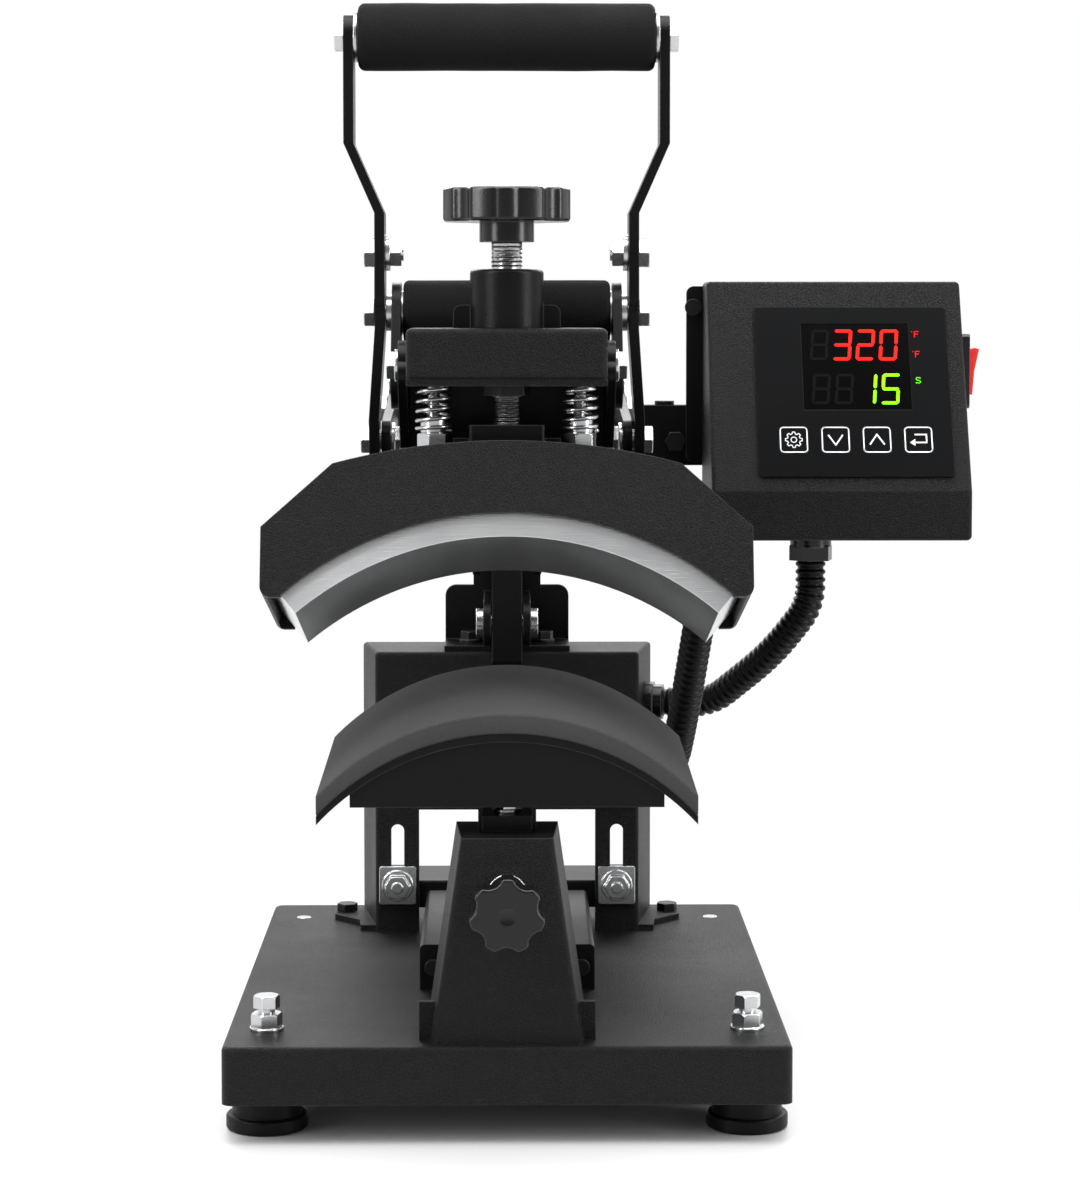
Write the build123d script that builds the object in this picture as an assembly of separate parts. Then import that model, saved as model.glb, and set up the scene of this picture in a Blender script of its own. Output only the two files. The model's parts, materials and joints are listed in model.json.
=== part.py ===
from build123d import *
from math import asin, atan2, cos, degrees, hypot, pi, radians, sin, sqrt
import os

os.makedirs("parts", exist_ok=True)

# Cap heat press. Millimetres, +Z up. Modelled with X = 0 on the plane of symmetry of the press,
# Y = 0 at the front edge of the base and Z = 0 at the floor, then moved so that the origin is the
# middle of the bottom of the whole object's box.

# ---- driving dimensions: fits -------------------------------------------------------------------
RUN = 0.06            # radial running clearance of a shaft in its hole
FIT = 0.3             # clearance round a fixed screw or bolt
GAP = 0.5             # side clearance between plates that move past each other
SHEET = 3.0           # structural sheet thickness
THIN = 2.0            # cover sheet thickness

# ---- driving dimensions: base -------------------------------------------------------------------
BASE_W = 263.0
BASE_D = 330.0
BASE_H = 27.0
FOOT_H = 19.0
FOOT_DISC_R = 19.2
FOOT_DISC_H = 7.0
FOOT_COLLAR_R = 16.4
FOOT_NECK_R = 12.0
FOOT_STUD_Z = 4.0
FOOT_INSET_X = 18.5
FOOT_INSET_Y = 35.0
STUD_R = 4.0
STUD_TOP = 10.5       # of the front foot studs above the base, under the cap head
STUD_CAP_AF = 11.0
STUD_CAP_H = 6.0
M8_AF = 13.0
M8_NUT_H = 6.5
M8_WASHER_R = 8.0
WASHER_T = 1.6
BASE_TOP = FOOT_H + BASE_H
FOOT_X = BASE_W / 2 - FOOT_INSET_X

# ---- driving dimensions: pedestal and lower platen ----------------------------------------------
PED_FRONT_Y = 5.0
PED_H = 95.7
PED_BOTTOM_W = 69.8
PED_TOP_W = 42.4
PED_BOTTOM_D = 60.0
PED_TOP_D = 46.0
PED_FLARE = 5.6       # how much wider the pedestal is at its back than at its front
POST_SIZE = 14.0
POST_LEN = 75.0
POST_Y = 36.0
CLAMP_Z = 110.3       # height of the clamp knob's axis
CLAMP_SLOT_TRAVEL = 2.0
CLAMP_WASHER_W = 17.8
CLAMP_WASHER_UP = 15.0
CLAMP_WASHER_DOWN = 12.0
CLAMP_WASHER_T = 2.0
KNOB_S_R = 17.2
KNOB_S_T = 13.0
KNOB_S_HUB_R = 9.0
KNOB_S_HUB_L = 10.0
KNOB_S_LOBES = 7
SADDLE_W = 23.0
SADDLE_H = 7.3
SADDLE_D = 26.0
SADDLE_TAB_T = 2.0
PED_TOP = BASE_TOP + PED_H

PAD_R = 119.0         # radius of the crown of the pad
PAD_HALF = 88.0
PAD_HALF_BACK = 85.5
PAD_DEPTH = 115.0
PAD_T = 9.4
PAD_TILT = 4.5        # degrees, rear edge higher
PAD_CROWN_Z = 199.1   # at the front edge
PAD_FRONT_Y = 5.0
PLATE_T = 4.0         # curved steel plate under the pad
WEB_HALF = 72.5
WEB_BOTTOM_Z = 154.6
STRIP_HALF = 30.0

# ---- driving dimensions: tower ------------------------------------------------------------------
TOWER_Y = 257.0
TOWER_D = 51.0
TOWER_FRONT_HALF = 71.2
TOWER_BACK_HALF = 80.0
TOWER_H = 152.4
LEG_W = 23.4
BRIDGE_H = 86.0
LEG_SLOT_W = 7.0
LEG_SLOT_TOP = 58.4   # above the base
LEG_SLOT_BOTTOM = 20.0
LEG_SLOT_X = 59.4
SLOT_BOLT_H = 25.2    # of the slot bolt's axis above the base
CROSSBAR_H = 15.0
CROSSBAR_TOP = 27.0   # above the base
CROSSBAR_HALF = 66.0
CROSSBAR_TAB_X = 51.0  # tabs at the ends stand up behind the leg flanges
CHANNEL_HALF = 43.5
CHANNEL_H = 22.8
CHANNEL_Y0 = 116.0
TOWER_TOP = BASE_TOP + TOWER_H

# ---- driving dimensions: hinge column -----------------------------------------------------------
COLUMN_HALF = 34.0
COLUMN_T = 4.0
COLUMN_BACK_Y = 298.0
SHOULDER_H = 33.0
NECK_HALF = 18.5
NECK_TOP = 345.0
NECK_FRONT_Y = 252.0
NECK_OPEN_Z = 240.5
ARM_AXIS = (238.0, 216.0)      # Y, Z of the arm's hinge
LINK_AXIS = (262.0, 330.0)     # Y, Z of the shaft that the links push against
EAR_T = 4.0
PIN_R = 5.0
LINK_SHAFT_R = 6.0

# ---- driving dimensions: arm --------------------------------------------------------------------
ARM_POST_W = 16.0
ARM_POST_D = 22.0
ARM_POST_TAIL = 22.0   # below the hinge axis
SPINE_T = 5.0
SPINE_Z0 = 309.0
SPINE_Z1 = 345.0
CROSS_Y = 110.0
HEAD_HALF = 47.5
HEAD_Y = 75.0          # axis of the pressure screw
HEAD_D = 50.0
HEAD_Z0 = 350.2
HEAD_H = 24.8
BOSS_R = 17.6
BOSS_H = 28.0
SIDE_T = 4.5
CHEEK_T = 4.5
HANDLE_AXIS = (128.0, 382.0)   # Y, Z of the handle's pivot
ROLL_R = 16.2
PIVOT_TUBE_R = 11.0
SIDE_BOLT_Z = 357.0

# ---- driving dimensions: carriage and heater ----------------------------------------------------
HEATER_TILT = 15.0     # degrees, front edge higher, with the arm open
HEATER_FRONT = (25.0, 279.1)   # Y, Z of the crown of the heating face at its front edge
HEATER_R = 150.0
HEATER_T = 20.0
HEATER_HALF_W = 110.4   # across the outer corners
HEATER_HALF_ANGLE = degrees(asin(HEATER_HALF_W / (HEATER_R + HEATER_T)))
HEATER_D = 91.0
COVER_D = 98.0
COVER_T = 3.0
COVER_HALF = 113.8
COVER_CROWN = 44.8     # all five above the crown of the heating face, in the tilted plane
COVER_SHOULDER = 33.9
COVER_CHAMFER = 4.0
COVER_SKIRT = -28.9
COVER_LIP = 10.7
SHOULDER_HALF = 81.0
PRESS_TRAVEL = 6.0     # how far the screw can lower the heater
ARCH_SIDE_GAP = 6.6    # from the heater's lower corners to the ends of the cover's arch
STUD_X = 35.0
CAR_STUD_R = 3.0
STUD_NUT_Z = 318.2
STUD_NUT_H = 6.6
STUD_NUT_AF = 14.0
COLLAR_R = 6.3
COLLAR_H = 7.0
SPRING_R = 8.0         # to the middle of the wire
WIRE_R = 1.0
SPRING_TURNS = 6
SPRING_END_GAP = 0.5
WEDGE_HALF = 52.0
BLOCK_HALF = 18.0
BLOCK_H = 12.6
SCREW_R = 7.4
SPINDLE_R = 6.2
KNOB_L_R = 31.0
KNOB_L_T = 16.0
KNOB_L_LOBES = 8
KNOB_L_HUB_R = 13.1
KNOB_L_HUB_L = 9.6
KNOB_L_Z = 425.4       # underside of the star knob
NUT_FLANGE_R = 12.2

# ---- driving dimensions: handle and links -------------------------------------------------------
BAR_T = 5.0
BAR_IN = 60.0          # inner face of the bars at the pivot
BAR_LOW_OUT = 3.5      # how far the bars lean out at their lower end
BAR_W = 26.0
GRIP_Z = 517.5
GRIP_HALF = 73.0
GRIP_R = 16.6
GRIP_BAR_IN = 75.0     # inner face of the bars at the grip
CRANK_Z0 = 431.0
CRANK_Z1 = 465.0
LEVER = (14.5, -63.4)  # from the pivot to the link bolt, in Y and Z
LINK_T = 4.5
LINK_W = 20.0
LINK_EYE_R = 19.0
LINK_EYE_BORE = 14.5
BOLT_R = 5.0
HEX_H = 5.0
STOP_Z = 411.6         # height of the stop plate bolts

# ---- driving dimensions: control box ------------------------------------------------------------
BOX_X0 = 106.6
BOX_X1 = 242.3
BOX_Y0 = 196.0
BOX_Y1 = 280.0
BOX_Z0 = 263.2
BOX_Z1 = 398.3
BOX_LIP_H = 25.8       # upright lip under the sloping face
BOX_SLOPE_D = 52.0     # how far the face leans back
FACE_X = (131.5, 233.5)
FACE_S = (8.0, 105.5)  # along the slope, from the lip
WINDOW_X = (156.3, 212.6)
WINDOW_S = (46.0, 95.5)
KEY_W = 15.0
KEY_S = 28.6           # middle of the keys along the slope
KEY_XS = (150.0, 171.9, 193.6, 215.3)
BRACKET_Z1 = 331.0
BRACKET_H = 33.0
BRACKET_D = 13.0
BRACKET_UP_T = 4.0
ROCKER_Y = 256.0
ROCKER_Z = 350.5
BEZEL_HALF = (14.0, 20.0)
ROCKER_HALF = (10.0, 13.8)
GLAND_XY = (162.0, 236.0)
CONDUIT_R = 8.0
CONDUIT_BORE = 5.8
PORT_Y = 284.0         # of the control box's conduit, on the tower's right wall
PORT_A_Z = 167.7
PORT_B = (56.0, 126.0) # X, Z of the heater's conduit on the bridge's front
GLAND_L = 10.0
GLAND_FLANGE_T = 5.0


# ---- helpers ------------------------------------------------------------------------------------
def block(x0, x1, y0, y1, z0, z1):
    """A box between two corners."""
    middle = Pos((x0 + x1) / 2, (y0 + y1) / 2, (z0 + z1) / 2)
    return middle * Box(abs(x1 - x0), abs(y1 - y0), abs(z1 - z0))


def rod_x(x0, x1, y, z, r):
    return Pos((x0 + x1) / 2, y, z) * Rot(0, 90, 0) * Cylinder(r, abs(x1 - x0))


def rod_y(y0, y1, x, z, r):
    return Pos(x, (y0 + y1) / 2, z) * Rot(90, 0, 0) * Cylinder(r, abs(y1 - y0))


def rod_z(z0, z1, x, y, r):
    return Pos(x, y, (z0 + z1) / 2) * Cylinder(r, abs(z1 - z0))


def hexagon(af, height):
    """A hexagonal prism on +Z, across flats af, centred on the origin, with its top corners turned off."""
    corner_r = af / sqrt(3)
    prism = extrude(RegularPolygon(corner_r, 6), height / 2, both=True)
    turned = Cone(corner_r + height, corner_r - height * 0.12, height)
    return prism & turned


def hex_x(x0, x1, y, z, af):
    """A hex head or nut along X, its turned face at x1."""
    side = 90 if x1 > x0 else -90
    return Pos((x0 + x1) / 2, y, z) * Rot(0, side, 0) * Rot(0, 0, 30) * hexagon(af, abs(x1 - x0))


def hex_y(y0, y1, x, z, af):
    side = -90 if y1 > y0 else 90
    return Pos(x, (y0 + y1) / 2, z) * Rot(side, 0, 0) * hexagon(af, abs(y1 - y0))


def hex_z(z0, z1, x, y, af):
    return Pos(x, y, (z0 + z1) / 2) * Rot(0, 0, 15) * hexagon(af, z1 - z0)


def soft_rod(z0, z1, x, y, r, rim):
    """A rod along Z with both rims rounded."""
    rod = rod_z(z0, z1, x, y, r)
    return fillet(rod.edges().filter_by(GeomType.CIRCLE), rim)


def prism_x(outline, x0, x1):
    """A closed outline of (Y, Z) points, extruded from x0 to x1."""
    face = Plane.YZ.offset(min(x0, x1)) * make_face(Polyline(*outline, close=True))
    return extrude(face, abs(x1 - x0))


def prism_z(outline, z0, z1):
    """A closed outline of (X, Y) points, extruded from z0 to z1."""
    return extrude(Pos(0, 0, z0) * make_face(Polyline(*outline, close=True)), z1 - z0)


def strap(points, r, x0, x1):
    """A flat bar with round ends through (Y, Z) points, extruded from x0 to x1."""
    low, high = min(x0, x1), max(x0, x1)
    body = None
    for y, z in points:
        disc = rod_x(low, high, y, z, r)
        body = disc if body is None else body + disc
    for (ya, za), (yb, zb) in zip(points, points[1:]):
        length = hypot(yb - ya, zb - za)
        bar = Box(high - low, length, 2 * r)
        turn = Rot(degrees(atan2(zb - za, yb - ya)), 0, 0)
        body = body + Pos((low + high) / 2, (ya + yb) / 2, (za + zb) / 2) * turn * bar
    return body


def both_sides(solid):
    """A solid and its mirror image in the plane of symmetry."""
    return [solid, mirror(solid, Plane.YZ)]


def arc_sector(r_in, r_out, half_angle, centre_z):
    """A flat ring sector in X and Z, open downwards, round (0, centre_z)."""
    a = radians(half_angle)
    tips = [(r * sin(a), centre_z + r * cos(a)) for r in (r_in, r_out)]
    inner = ThreePointArc((-tips[0][0], tips[0][1]), (0, centre_z + r_in), tips[0])
    outer = ThreePointArc((-tips[1][0], tips[1][1]), (0, centre_z + r_out), tips[1])
    ends = [Line(tips[0], tips[1]), Line((-tips[0][0], tips[0][1]), (-tips[1][0], tips[1][1]))]
    return make_face([inner, outer] + ends)


def star_knob(r, thickness, lobes, scallop, depth):
    """A star knob on +Z from 0 to thickness: a disc with round scallops and softened rims."""
    outline = Circle(r) - PolarLocations(r + scallop - depth, lobes) * Circle(scallop)
    outline = fillet(outline.vertices(), r * 0.12)
    knob = extrude(outline, thickness)
    rims = knob.faces().sort_by(Axis.Z)
    return fillet(rims[-1].edges() + rims[0].edges(), thickness * 0.1)


nodes = {}


def keep(name, *solids):
    """Keep the solids of one node."""
    flat = []
    for item in solids:
        flat.extend(item if isinstance(item, (list, tuple)) else [item])
    nodes[name] = flat


# ---- base ---------------------------------------------------------------------------------------
def base():
    shell = block(-BASE_W / 2, BASE_W / 2, 0, BASE_D, FOOT_H, BASE_TOP)
    shell = fillet(shell.edges().filter_by(Axis.Z), 5)
    shell = fillet(shell.faces().sort_by(Axis.Z)[-1].edges(), 2.4)
    inner = block(-BASE_W / 2 + SHEET, BASE_W / 2 - SHEET, SHEET, BASE_D - SHEET, FOOT_H, BASE_TOP - SHEET)
    inner = fillet(inner.edges().filter_by(Axis.Z), 2)
    shell = shell - inner
    feet, studs, nuts = [], [], []
    for sx in (-1, 1):
        for y, front in ((FOOT_INSET_Y, True), (BASE_D - FOOT_INSET_Y, False)):
            x = sx * FOOT_X
            disc = soft_rod(0, FOOT_DISC_H, x, y, FOOT_DISC_R, 1.4)
            collar = rod_z(FOOT_DISC_H - 1, FOOT_H, x, y, FOOT_COLLAR_R)
            neck = rod_z(FOOT_H, BASE_TOP - SHEET, x, y, FOOT_NECK_R)
            bore = rod_z(FOOT_STUD_Z, BASE_TOP, x, y, STUD_R)
            feet.append(disc + collar + neck - bore)
            top = BASE_TOP + (STUD_TOP if front else 0)
            shaft = rod_z(FOOT_STUD_Z, top, x, y, STUD_R)
            if front:
                cap = hex_z(top, top + STUD_CAP_H, x, y, STUD_CAP_AF)
                studs.append(shaft + cap)
                ring = rod_z(BASE_TOP, BASE_TOP + WASHER_T, x, y, M8_WASHER_R)
                bore_z = rod_z(BASE_TOP - 1, BASE_TOP + 12, x, y, STUD_R + RUN)
                nuts.append(ring - bore_z)
                nut_z = BASE_TOP + WASHER_T
                nuts.append(hex_z(nut_z, nut_z + M8_NUT_H, x, y, M8_AF) - bore_z)
            else:
                studs.append(shaft)
            shell = shell - rod_z(FOOT_H, BASE_TOP + 1, x, y, STUD_R + FIT)
    keep("base_tray", shell)
    keep("levelling_feet", feet)
    keep("foot_studs", studs, nuts)


# ---- pedestal -----------------------------------------------------------------------------------
def pedestal_hull(inset, z0, z1):
    """The pedestal's tapered outside between two heights, drawn in by inset on every side but the top."""
    faces = []
    for z in (z0, z1):
        t = (z - BASE_TOP) / PED_H
        front = (PED_BOTTOM_W + (PED_TOP_W - PED_BOTTOM_W) * t) / 2 - inset
        back = front + PED_FLARE / 2
        depth = PED_BOTTOM_D + (PED_TOP_D - PED_BOTTOM_D) * t
        y0, y1 = PED_FRONT_Y + inset, PED_FRONT_Y + depth
        outline = [(-front, y0), (front, y0), (back, y1), (-back, y1)]
        faces.append(Pos(0, 0, z) * make_face(Polyline(*outline, close=True)))
    return loft(faces, ruled=True)


def pedestal():
    outside = pedestal_hull(0, BASE_TOP, PED_TOP)
    corner = [e for e in outside.edges() if abs(e.length - PED_H) < 6 and e.center().Y < PED_FRONT_Y + 3]
    outside = fillet(corner, 3.2)
    inside = pedestal_hull(SHEET, BASE_TOP - 1, PED_TOP - SHEET)
    far = PED_FRONT_Y + PED_TOP_D
    inside = inside + block(-PED_TOP_W / 2 + SHEET, PED_TOP_W / 2 - SHEET, far - 20, far + 20,
                            BASE_TOP + 24, PED_TOP - SHEET)
    body = outside - inside
    slot_half = STUD_R + FIT
    slot = rod_y(PED_FRONT_Y - 1, PED_FRONT_Y + SHEET + 1, 0, CLAMP_Z - FIT, slot_half)
    slot = slot + rod_y(PED_FRONT_Y - 1, PED_FRONT_Y + SHEET + 1, 0, CLAMP_Z + CLAMP_SLOT_TRAVEL + FIT, slot_half)
    slot = slot + block(-slot_half, slot_half, PED_FRONT_Y - 1, PED_FRONT_Y + SHEET + 1,
                        CLAMP_Z - FIT, CLAMP_Z + CLAMP_SLOT_TRAVEL + FIT)
    hole = POST_SIZE / 2 + FIT
    body = body - slot - block(-hole, hole, POST_Y - hole, POST_Y + hole, PED_TOP - SHEET - 1, PED_TOP + 1)
    gussets = []
    foot = PED_BOTTOM_W / 2
    for side in (-1, 1):
        outline = [(foot - 1.5, 14), (foot + 6, 14), (foot + 6, 17), (foot - 1.5, 17)]
        points = [(side * x, y) for x, y in outline]
        rib = prism_z(points, BASE_TOP, BASE_TOP + 18)
        gussets.append(rib)
    for rib in gussets:
        body = body + rib
    keep("pedestal", body)


def platen_frame():
    """The tilted frame of the lower platen: its origin on the front crown of the pad."""
    return Pos(0, PAD_FRONT_Y, PAD_CROWN_Z) * Rot(PAD_TILT, 0, 0)


def crown_slab(top, thickness, depth0, depth1):
    """A sheet bent to the pad's radius, tapering in plan: top is its crown in the tilted frame."""
    half = PAD_HALF
    centre = top - PAD_R
    edge = centre + sqrt(PAD_R ** 2 - half ** 2)
    upper = ThreePointArc((-half, edge), (0, top), (half, edge))
    lower = ThreePointArc((-half, edge - thickness), (0, top - thickness), (half, edge - thickness))
    ends = [Line((side * half, edge), (side * half, edge - thickness)) for side in (-1, 1)]
    slab = extrude(front_plane(depth1) * make_face([upper, lower] + ends), depth1 - depth0)
    plan = [(-half, 0), (half, 0), (PAD_HALF_BACK, PAD_DEPTH), (-PAD_HALF_BACK, PAD_DEPTH)]
    return slab & prism_z(plan, centre, top + 1)


def lower_platen():
    frame = platen_frame()
    pad = crown_slab(0, PAD_T, 0, PAD_DEPTH)
    keep("platen_pad", frame * pad)
    plate = crown_slab(-PAD_T, PLATE_T, 1, PAD_DEPTH - 1)
    bottom = WEB_BOTTOM_Z - PAD_CROWN_Z
    crown = -PAD_T - PLATE_T
    edge = crown - PAD_R + sqrt(PAD_R ** 2 - WEB_HALF ** 2)
    arch = ThreePointArc((-WEB_HALF, edge), (0, crown), (WEB_HALF, edge))
    sides = [Line((side * WEB_HALF, edge), (side * WEB_HALF, bottom)) for side in (-1, 1)]
    web_face = make_face([arch, Line((-WEB_HALF, bottom), (WEB_HALF, bottom))] + sides)
    webs = []
    for y in (3.0 + SHEET, PAD_DEPTH - 6):
        plane = Plane(origin=(0, y, 0), x_dir=(1, 0, 0), z_dir=(0, -1, 0))
        webs.append(extrude(plane * web_face, SHEET))
    strip = block(-STRIP_HALF, STRIP_HALF, 3, PAD_DEPTH - 6, bottom, bottom + PLATE_T)
    body = plate + strip
    for web in webs:
        body = body + web
    keep("lower_platen_plate", frame * body)
    # the saddle that carries the platen on its post
    y0 = POST_Y - SADDLE_D / 2
    under = frame * block(-60, 60, -40, PAD_DEPTH + 40, bottom, 60)
    seat = block(-SADDLE_W / 2, SADDLE_W / 2, y0, y0 + SADDLE_D, PED_TOP, PED_TOP + SADDLE_H)
    out = SADDLE_W / 2 + SADDLE_TAB_T
    tabs = block(-out, out, y0 + 2, y0 + SADDLE_D - 2, PED_TOP, WEB_BOTTOM_Z + 12)
    tabs = tabs - block(-SADDLE_W / 2, SADDLE_W / 2, y0 - 5, y0 + SADDLE_D + 5, PED_TOP + SADDLE_H, 200)
    saddle = (seat + tabs) - under
    bolt_z = PED_TOP + SADDLE_H
    saddle = saddle - rod_z(PED_TOP, bolt_z + 1, 0, POST_Y, STUD_R * 0.75 + FIT)
    keep("saddle_bracket", saddle)
    washer = rod_z(bolt_z, bolt_z + WASHER_T, 0, POST_Y, 6.6) - rod_z(bolt_z - 1, bolt_z + 3, 0, POST_Y, 3)
    head = hex_z(bolt_z + WASHER_T, bolt_z + WASHER_T + 3.4, 0, POST_Y, 10)
    keep("saddle_bolt", head + rod_z(PED_TOP - 10, bolt_z + WASHER_T, 0, POST_Y, 3), washer)
    half = POST_SIZE / 2
    post = block(-half, half, POST_Y - half, POST_Y + half, PED_TOP - POST_LEN, PED_TOP)
    post = post - rod_z(PED_TOP - 12, PED_TOP + 1, 0, POST_Y, 3)
    post = post - rod_y(POST_Y - half - 1, POST_Y + GAP, 0, CLAMP_Z, STUD_R + RUN)
    keep("platen_post", post)
    # the clamp knob with its stud, and the zinc washer under it
    wz0, wz1 = CLAMP_Z - CLAMP_WASHER_DOWN, CLAMP_Z + CLAMP_WASHER_UP
    r = CLAMP_WASHER_W / 2
    y_face = PED_FRONT_Y - CLAMP_WASHER_T
    zinc = block(-r, r, y_face, PED_FRONT_Y, wz0 + r, wz1 - r)
    zinc = zinc + rod_y(y_face, PED_FRONT_Y, 0, wz0 + r, r) + rod_y(y_face, PED_FRONT_Y, 0, wz1 - r, r)
    keep("clamp_washer", zinc - rod_y(y_face - 1, PED_FRONT_Y + 1, 0, CLAMP_Z, STUD_R + RUN))
    hub0 = y_face - KNOB_S_HUB_L
    knob = Pos(0, hub0, CLAMP_Z) * Rot(90, 0, 0) * Rot(0, 0, 12) * star_knob(KNOB_S_R, KNOB_S_T, KNOB_S_LOBES, 6.5, 2.8)
    knob = knob + rod_y(hub0, y_face, 0, CLAMP_Z, KNOB_S_HUB_R)
    knob = knob - Pos(0, hub0 - KNOB_S_T - 13.4, CLAMP_Z) * Sphere(14)
    keep("clamp_knob", knob - rod_y(hub0, y_face + 1, 0, CLAMP_Z, STUD_R), rod_y(hub0, POST_Y, 0, CLAMP_Z, STUD_R))


# ---- tower --------------------------------------------------------------------------------------
def tower_prism(inset, z0, z1, front=0.0, back=0.0):
    """The tower's tapered plan, drawn in by inset at the front and sides."""
    y0, y1 = TOWER_Y + inset - front, TOWER_Y + TOWER_D + back
    slope = (TOWER_BACK_HALF - TOWER_FRONT_HALF) / TOWER_D
    x0 = TOWER_FRONT_HALF + slope * (y0 - TOWER_Y) - inset
    x1 = TOWER_FRONT_HALF + slope * (y1 - TOWER_Y) - inset
    return prism_z([(-x0, y0), (x0, y0), (x1, y1), (-x1, y1)], z0, z1)


def slot_bolt_z():
    return BASE_TOP + SLOT_BOLT_H


def tower():
    body = tower_prism(0, BASE_TOP, TOWER_TOP)
    corners = [e for e in body.edges().filter_by(Axis.Z) if e.center().Y < TOWER_Y + 1]
    body = fillet(corners + body.faces().sort_by(Axis.Z)[-1].edges(), 2.4)
    body = body - tower_prism(SHEET, BASE_TOP - 1, TOWER_TOP - SHEET, back=10)
    inner = TOWER_FRONT_HALF - LEG_W
    body = body - block(-inner, inner, TOWER_Y - 5, TOWER_Y + SHEET + 1, BASE_TOP - 1, TOWER_TOP - BRIDGE_H)
    bolt_z = slot_bolt_z()
    hw = LEG_SLOT_W / 2
    z0, z1 = BASE_TOP + LEG_SLOT_BOTTOM + hw, BASE_TOP + LEG_SLOT_TOP - hw
    for side in (-1, 1):
        x = side * LEG_SLOT_X
        slot = block(x - hw, x + hw, TOWER_Y - 1, TOWER_Y + SHEET + 1, z0, z1)
        slot = slot + rod_y(TOWER_Y - 1, TOWER_Y + SHEET + 1, x, z0, hw)
        slot = slot + rod_y(TOWER_Y - 1, TOWER_Y + SHEET + 1, x, z1, hw)
        body = body - slot
        # the foot flange that bolts down to the base
        slope = (TOWER_BACK_HALF - TOWER_FRONT_HALF) / TOWER_D
        y0, y1 = TOWER_Y + 1.5, TOWER_Y + TOWER_D
        root0 = TOWER_FRONT_HALF - 1.5
        root1 = root0 + slope * (y1 - y0)
        outline = [(root0, y0), (root0 + 10, y0), (root0 + 11, y0 + 14), (root1 + 17, y0 + 30),
                   (root1 + 17, y1), (root1, y1)]
        flange = prism_z([(side * px, py) for px, py in outline], BASE_TOP, BASE_TOP + SHEET)
        body = body + flange
    bolts, screws = [], []
    for side in (-1, 1):
        fx, fy = side * (TOWER_BACK_HALF + 9), TOWER_Y + TOWER_D - 9
        body = body - rod_z(BASE_TOP - 1, BASE_TOP + SHEET + 1, fx, fy, 3 + FIT)
        screws.append(rod_z(BASE_TOP, BASE_TOP + SHEET, fx, fy, 3)
                      + hex_z(BASE_TOP + SHEET, BASE_TOP + SHEET + 4, fx, fy, 10))
    column_bolt_holes = [rod_z(TOWER_TOP - 6, TOWER_TOP + 6, side * 19.7, 280.0, 3 + FIT) for side in (-1, 1)]
    for hole in column_bolt_holes:
        body = body - hole
    body = body - rod_y(TOWER_Y - 1, TOWER_Y + SHEET + 1, *PORT_B, CONDUIT_BORE)
    body = body - side_hole(PORT_A_Z)
    keep("tower", body)
    # crossbar between the legs, clamped through the slots
    y0 = TOWER_Y + SHEET
    y1 = TOWER_Y + TOWER_D - 3
    top = BASE_TOP + CROSSBAR_TOP
    bar = block(-CROSSBAR_HALF, CROSSBAR_HALF, y0, y1, top - CROSSBAR_H, top)
    bar = fillet(bar.edges().filter_by(Axis.X), 1.5)
    bar = bar - block(-CROSSBAR_HALF - 1, CROSSBAR_HALF + 1, y0 + SHEET, y1 - SHEET, top - CROSSBAR_H - 1, top - SHEET)
    for side in (-1, 1):
        bar = bar + block(side * CROSSBAR_TAB_X, side * CROSSBAR_HALF, y0, y0 + SHEET, top - 5, bolt_z + 10)
    nuts = []
    y_out = TOWER_Y - THIN
    for side in (-1, 1):
        x = side * LEG_SLOT_X
        bar = bar - rod_y(y0 - 1, y0 + SHEET + 1, x, bolt_z, 3.4)
        plate = fillet(block(x - 10, x + 10, y_out, TOWER_Y, bolt_z - 10.4, bolt_z + 10.4).edges().filter_by(Axis.Y), 1.2)
        nuts.append(plate - rod_y(y_out - 1, TOWER_Y + 1, x, bolt_z, 3 + FIT))
        ring = rod_y(y_out - WASHER_T, y_out, x, bolt_z, 8.4)
        stack = ring + hex_y(y_out - WASHER_T, y_out - WASHER_T - 5.4, x, bolt_z, 12)
        nuts.append(stack + rod_y(y_out, y0 + SHEET, x, bolt_z, 3)
                    + rod_y(y_out - WASHER_T - 7, y_out - WASHER_T - 5, x, bolt_z, 3))
    keep("crossbar", bar)
    keep("slot_bolts", nuts)
    # wiring channel on the base
    ch_top = BASE_TOP + CHANNEL_H
    channel = block(-CHANNEL_HALF, CHANNEL_HALF, CHANNEL_Y0, TOWER_Y - 3, BASE_TOP, ch_top)
    channel = fillet(channel.edges().filter_by(Axis.Y).group_by(Axis.Z)[-1], 2.5)
    channel = channel - block(-CHANNEL_HALF + THIN, CHANNEL_HALF - THIN, CHANNEL_Y0 + THIN, TOWER_Y - 3 - THIN,
                              BASE_TOP - 1, ch_top - THIN)
    heads = []
    for side in (-1, 1):
        x, z = side * 37.0, BASE_TOP + 11.5
        channel = channel - rod_y(CHANNEL_Y0 - 1, CHANNEL_Y0 + THIN + 1, x, z, 2 + FIT)
        heads.append(rod_y(CHANNEL_Y0 - 2, CHANNEL_Y0, x, z, 4) + rod_y(CHANNEL_Y0, CHANNEL_Y0 + 6, x, z, 2))
    keep("wiring_channel", channel)
    keep("frame_bolts", screws, heads)


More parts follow.
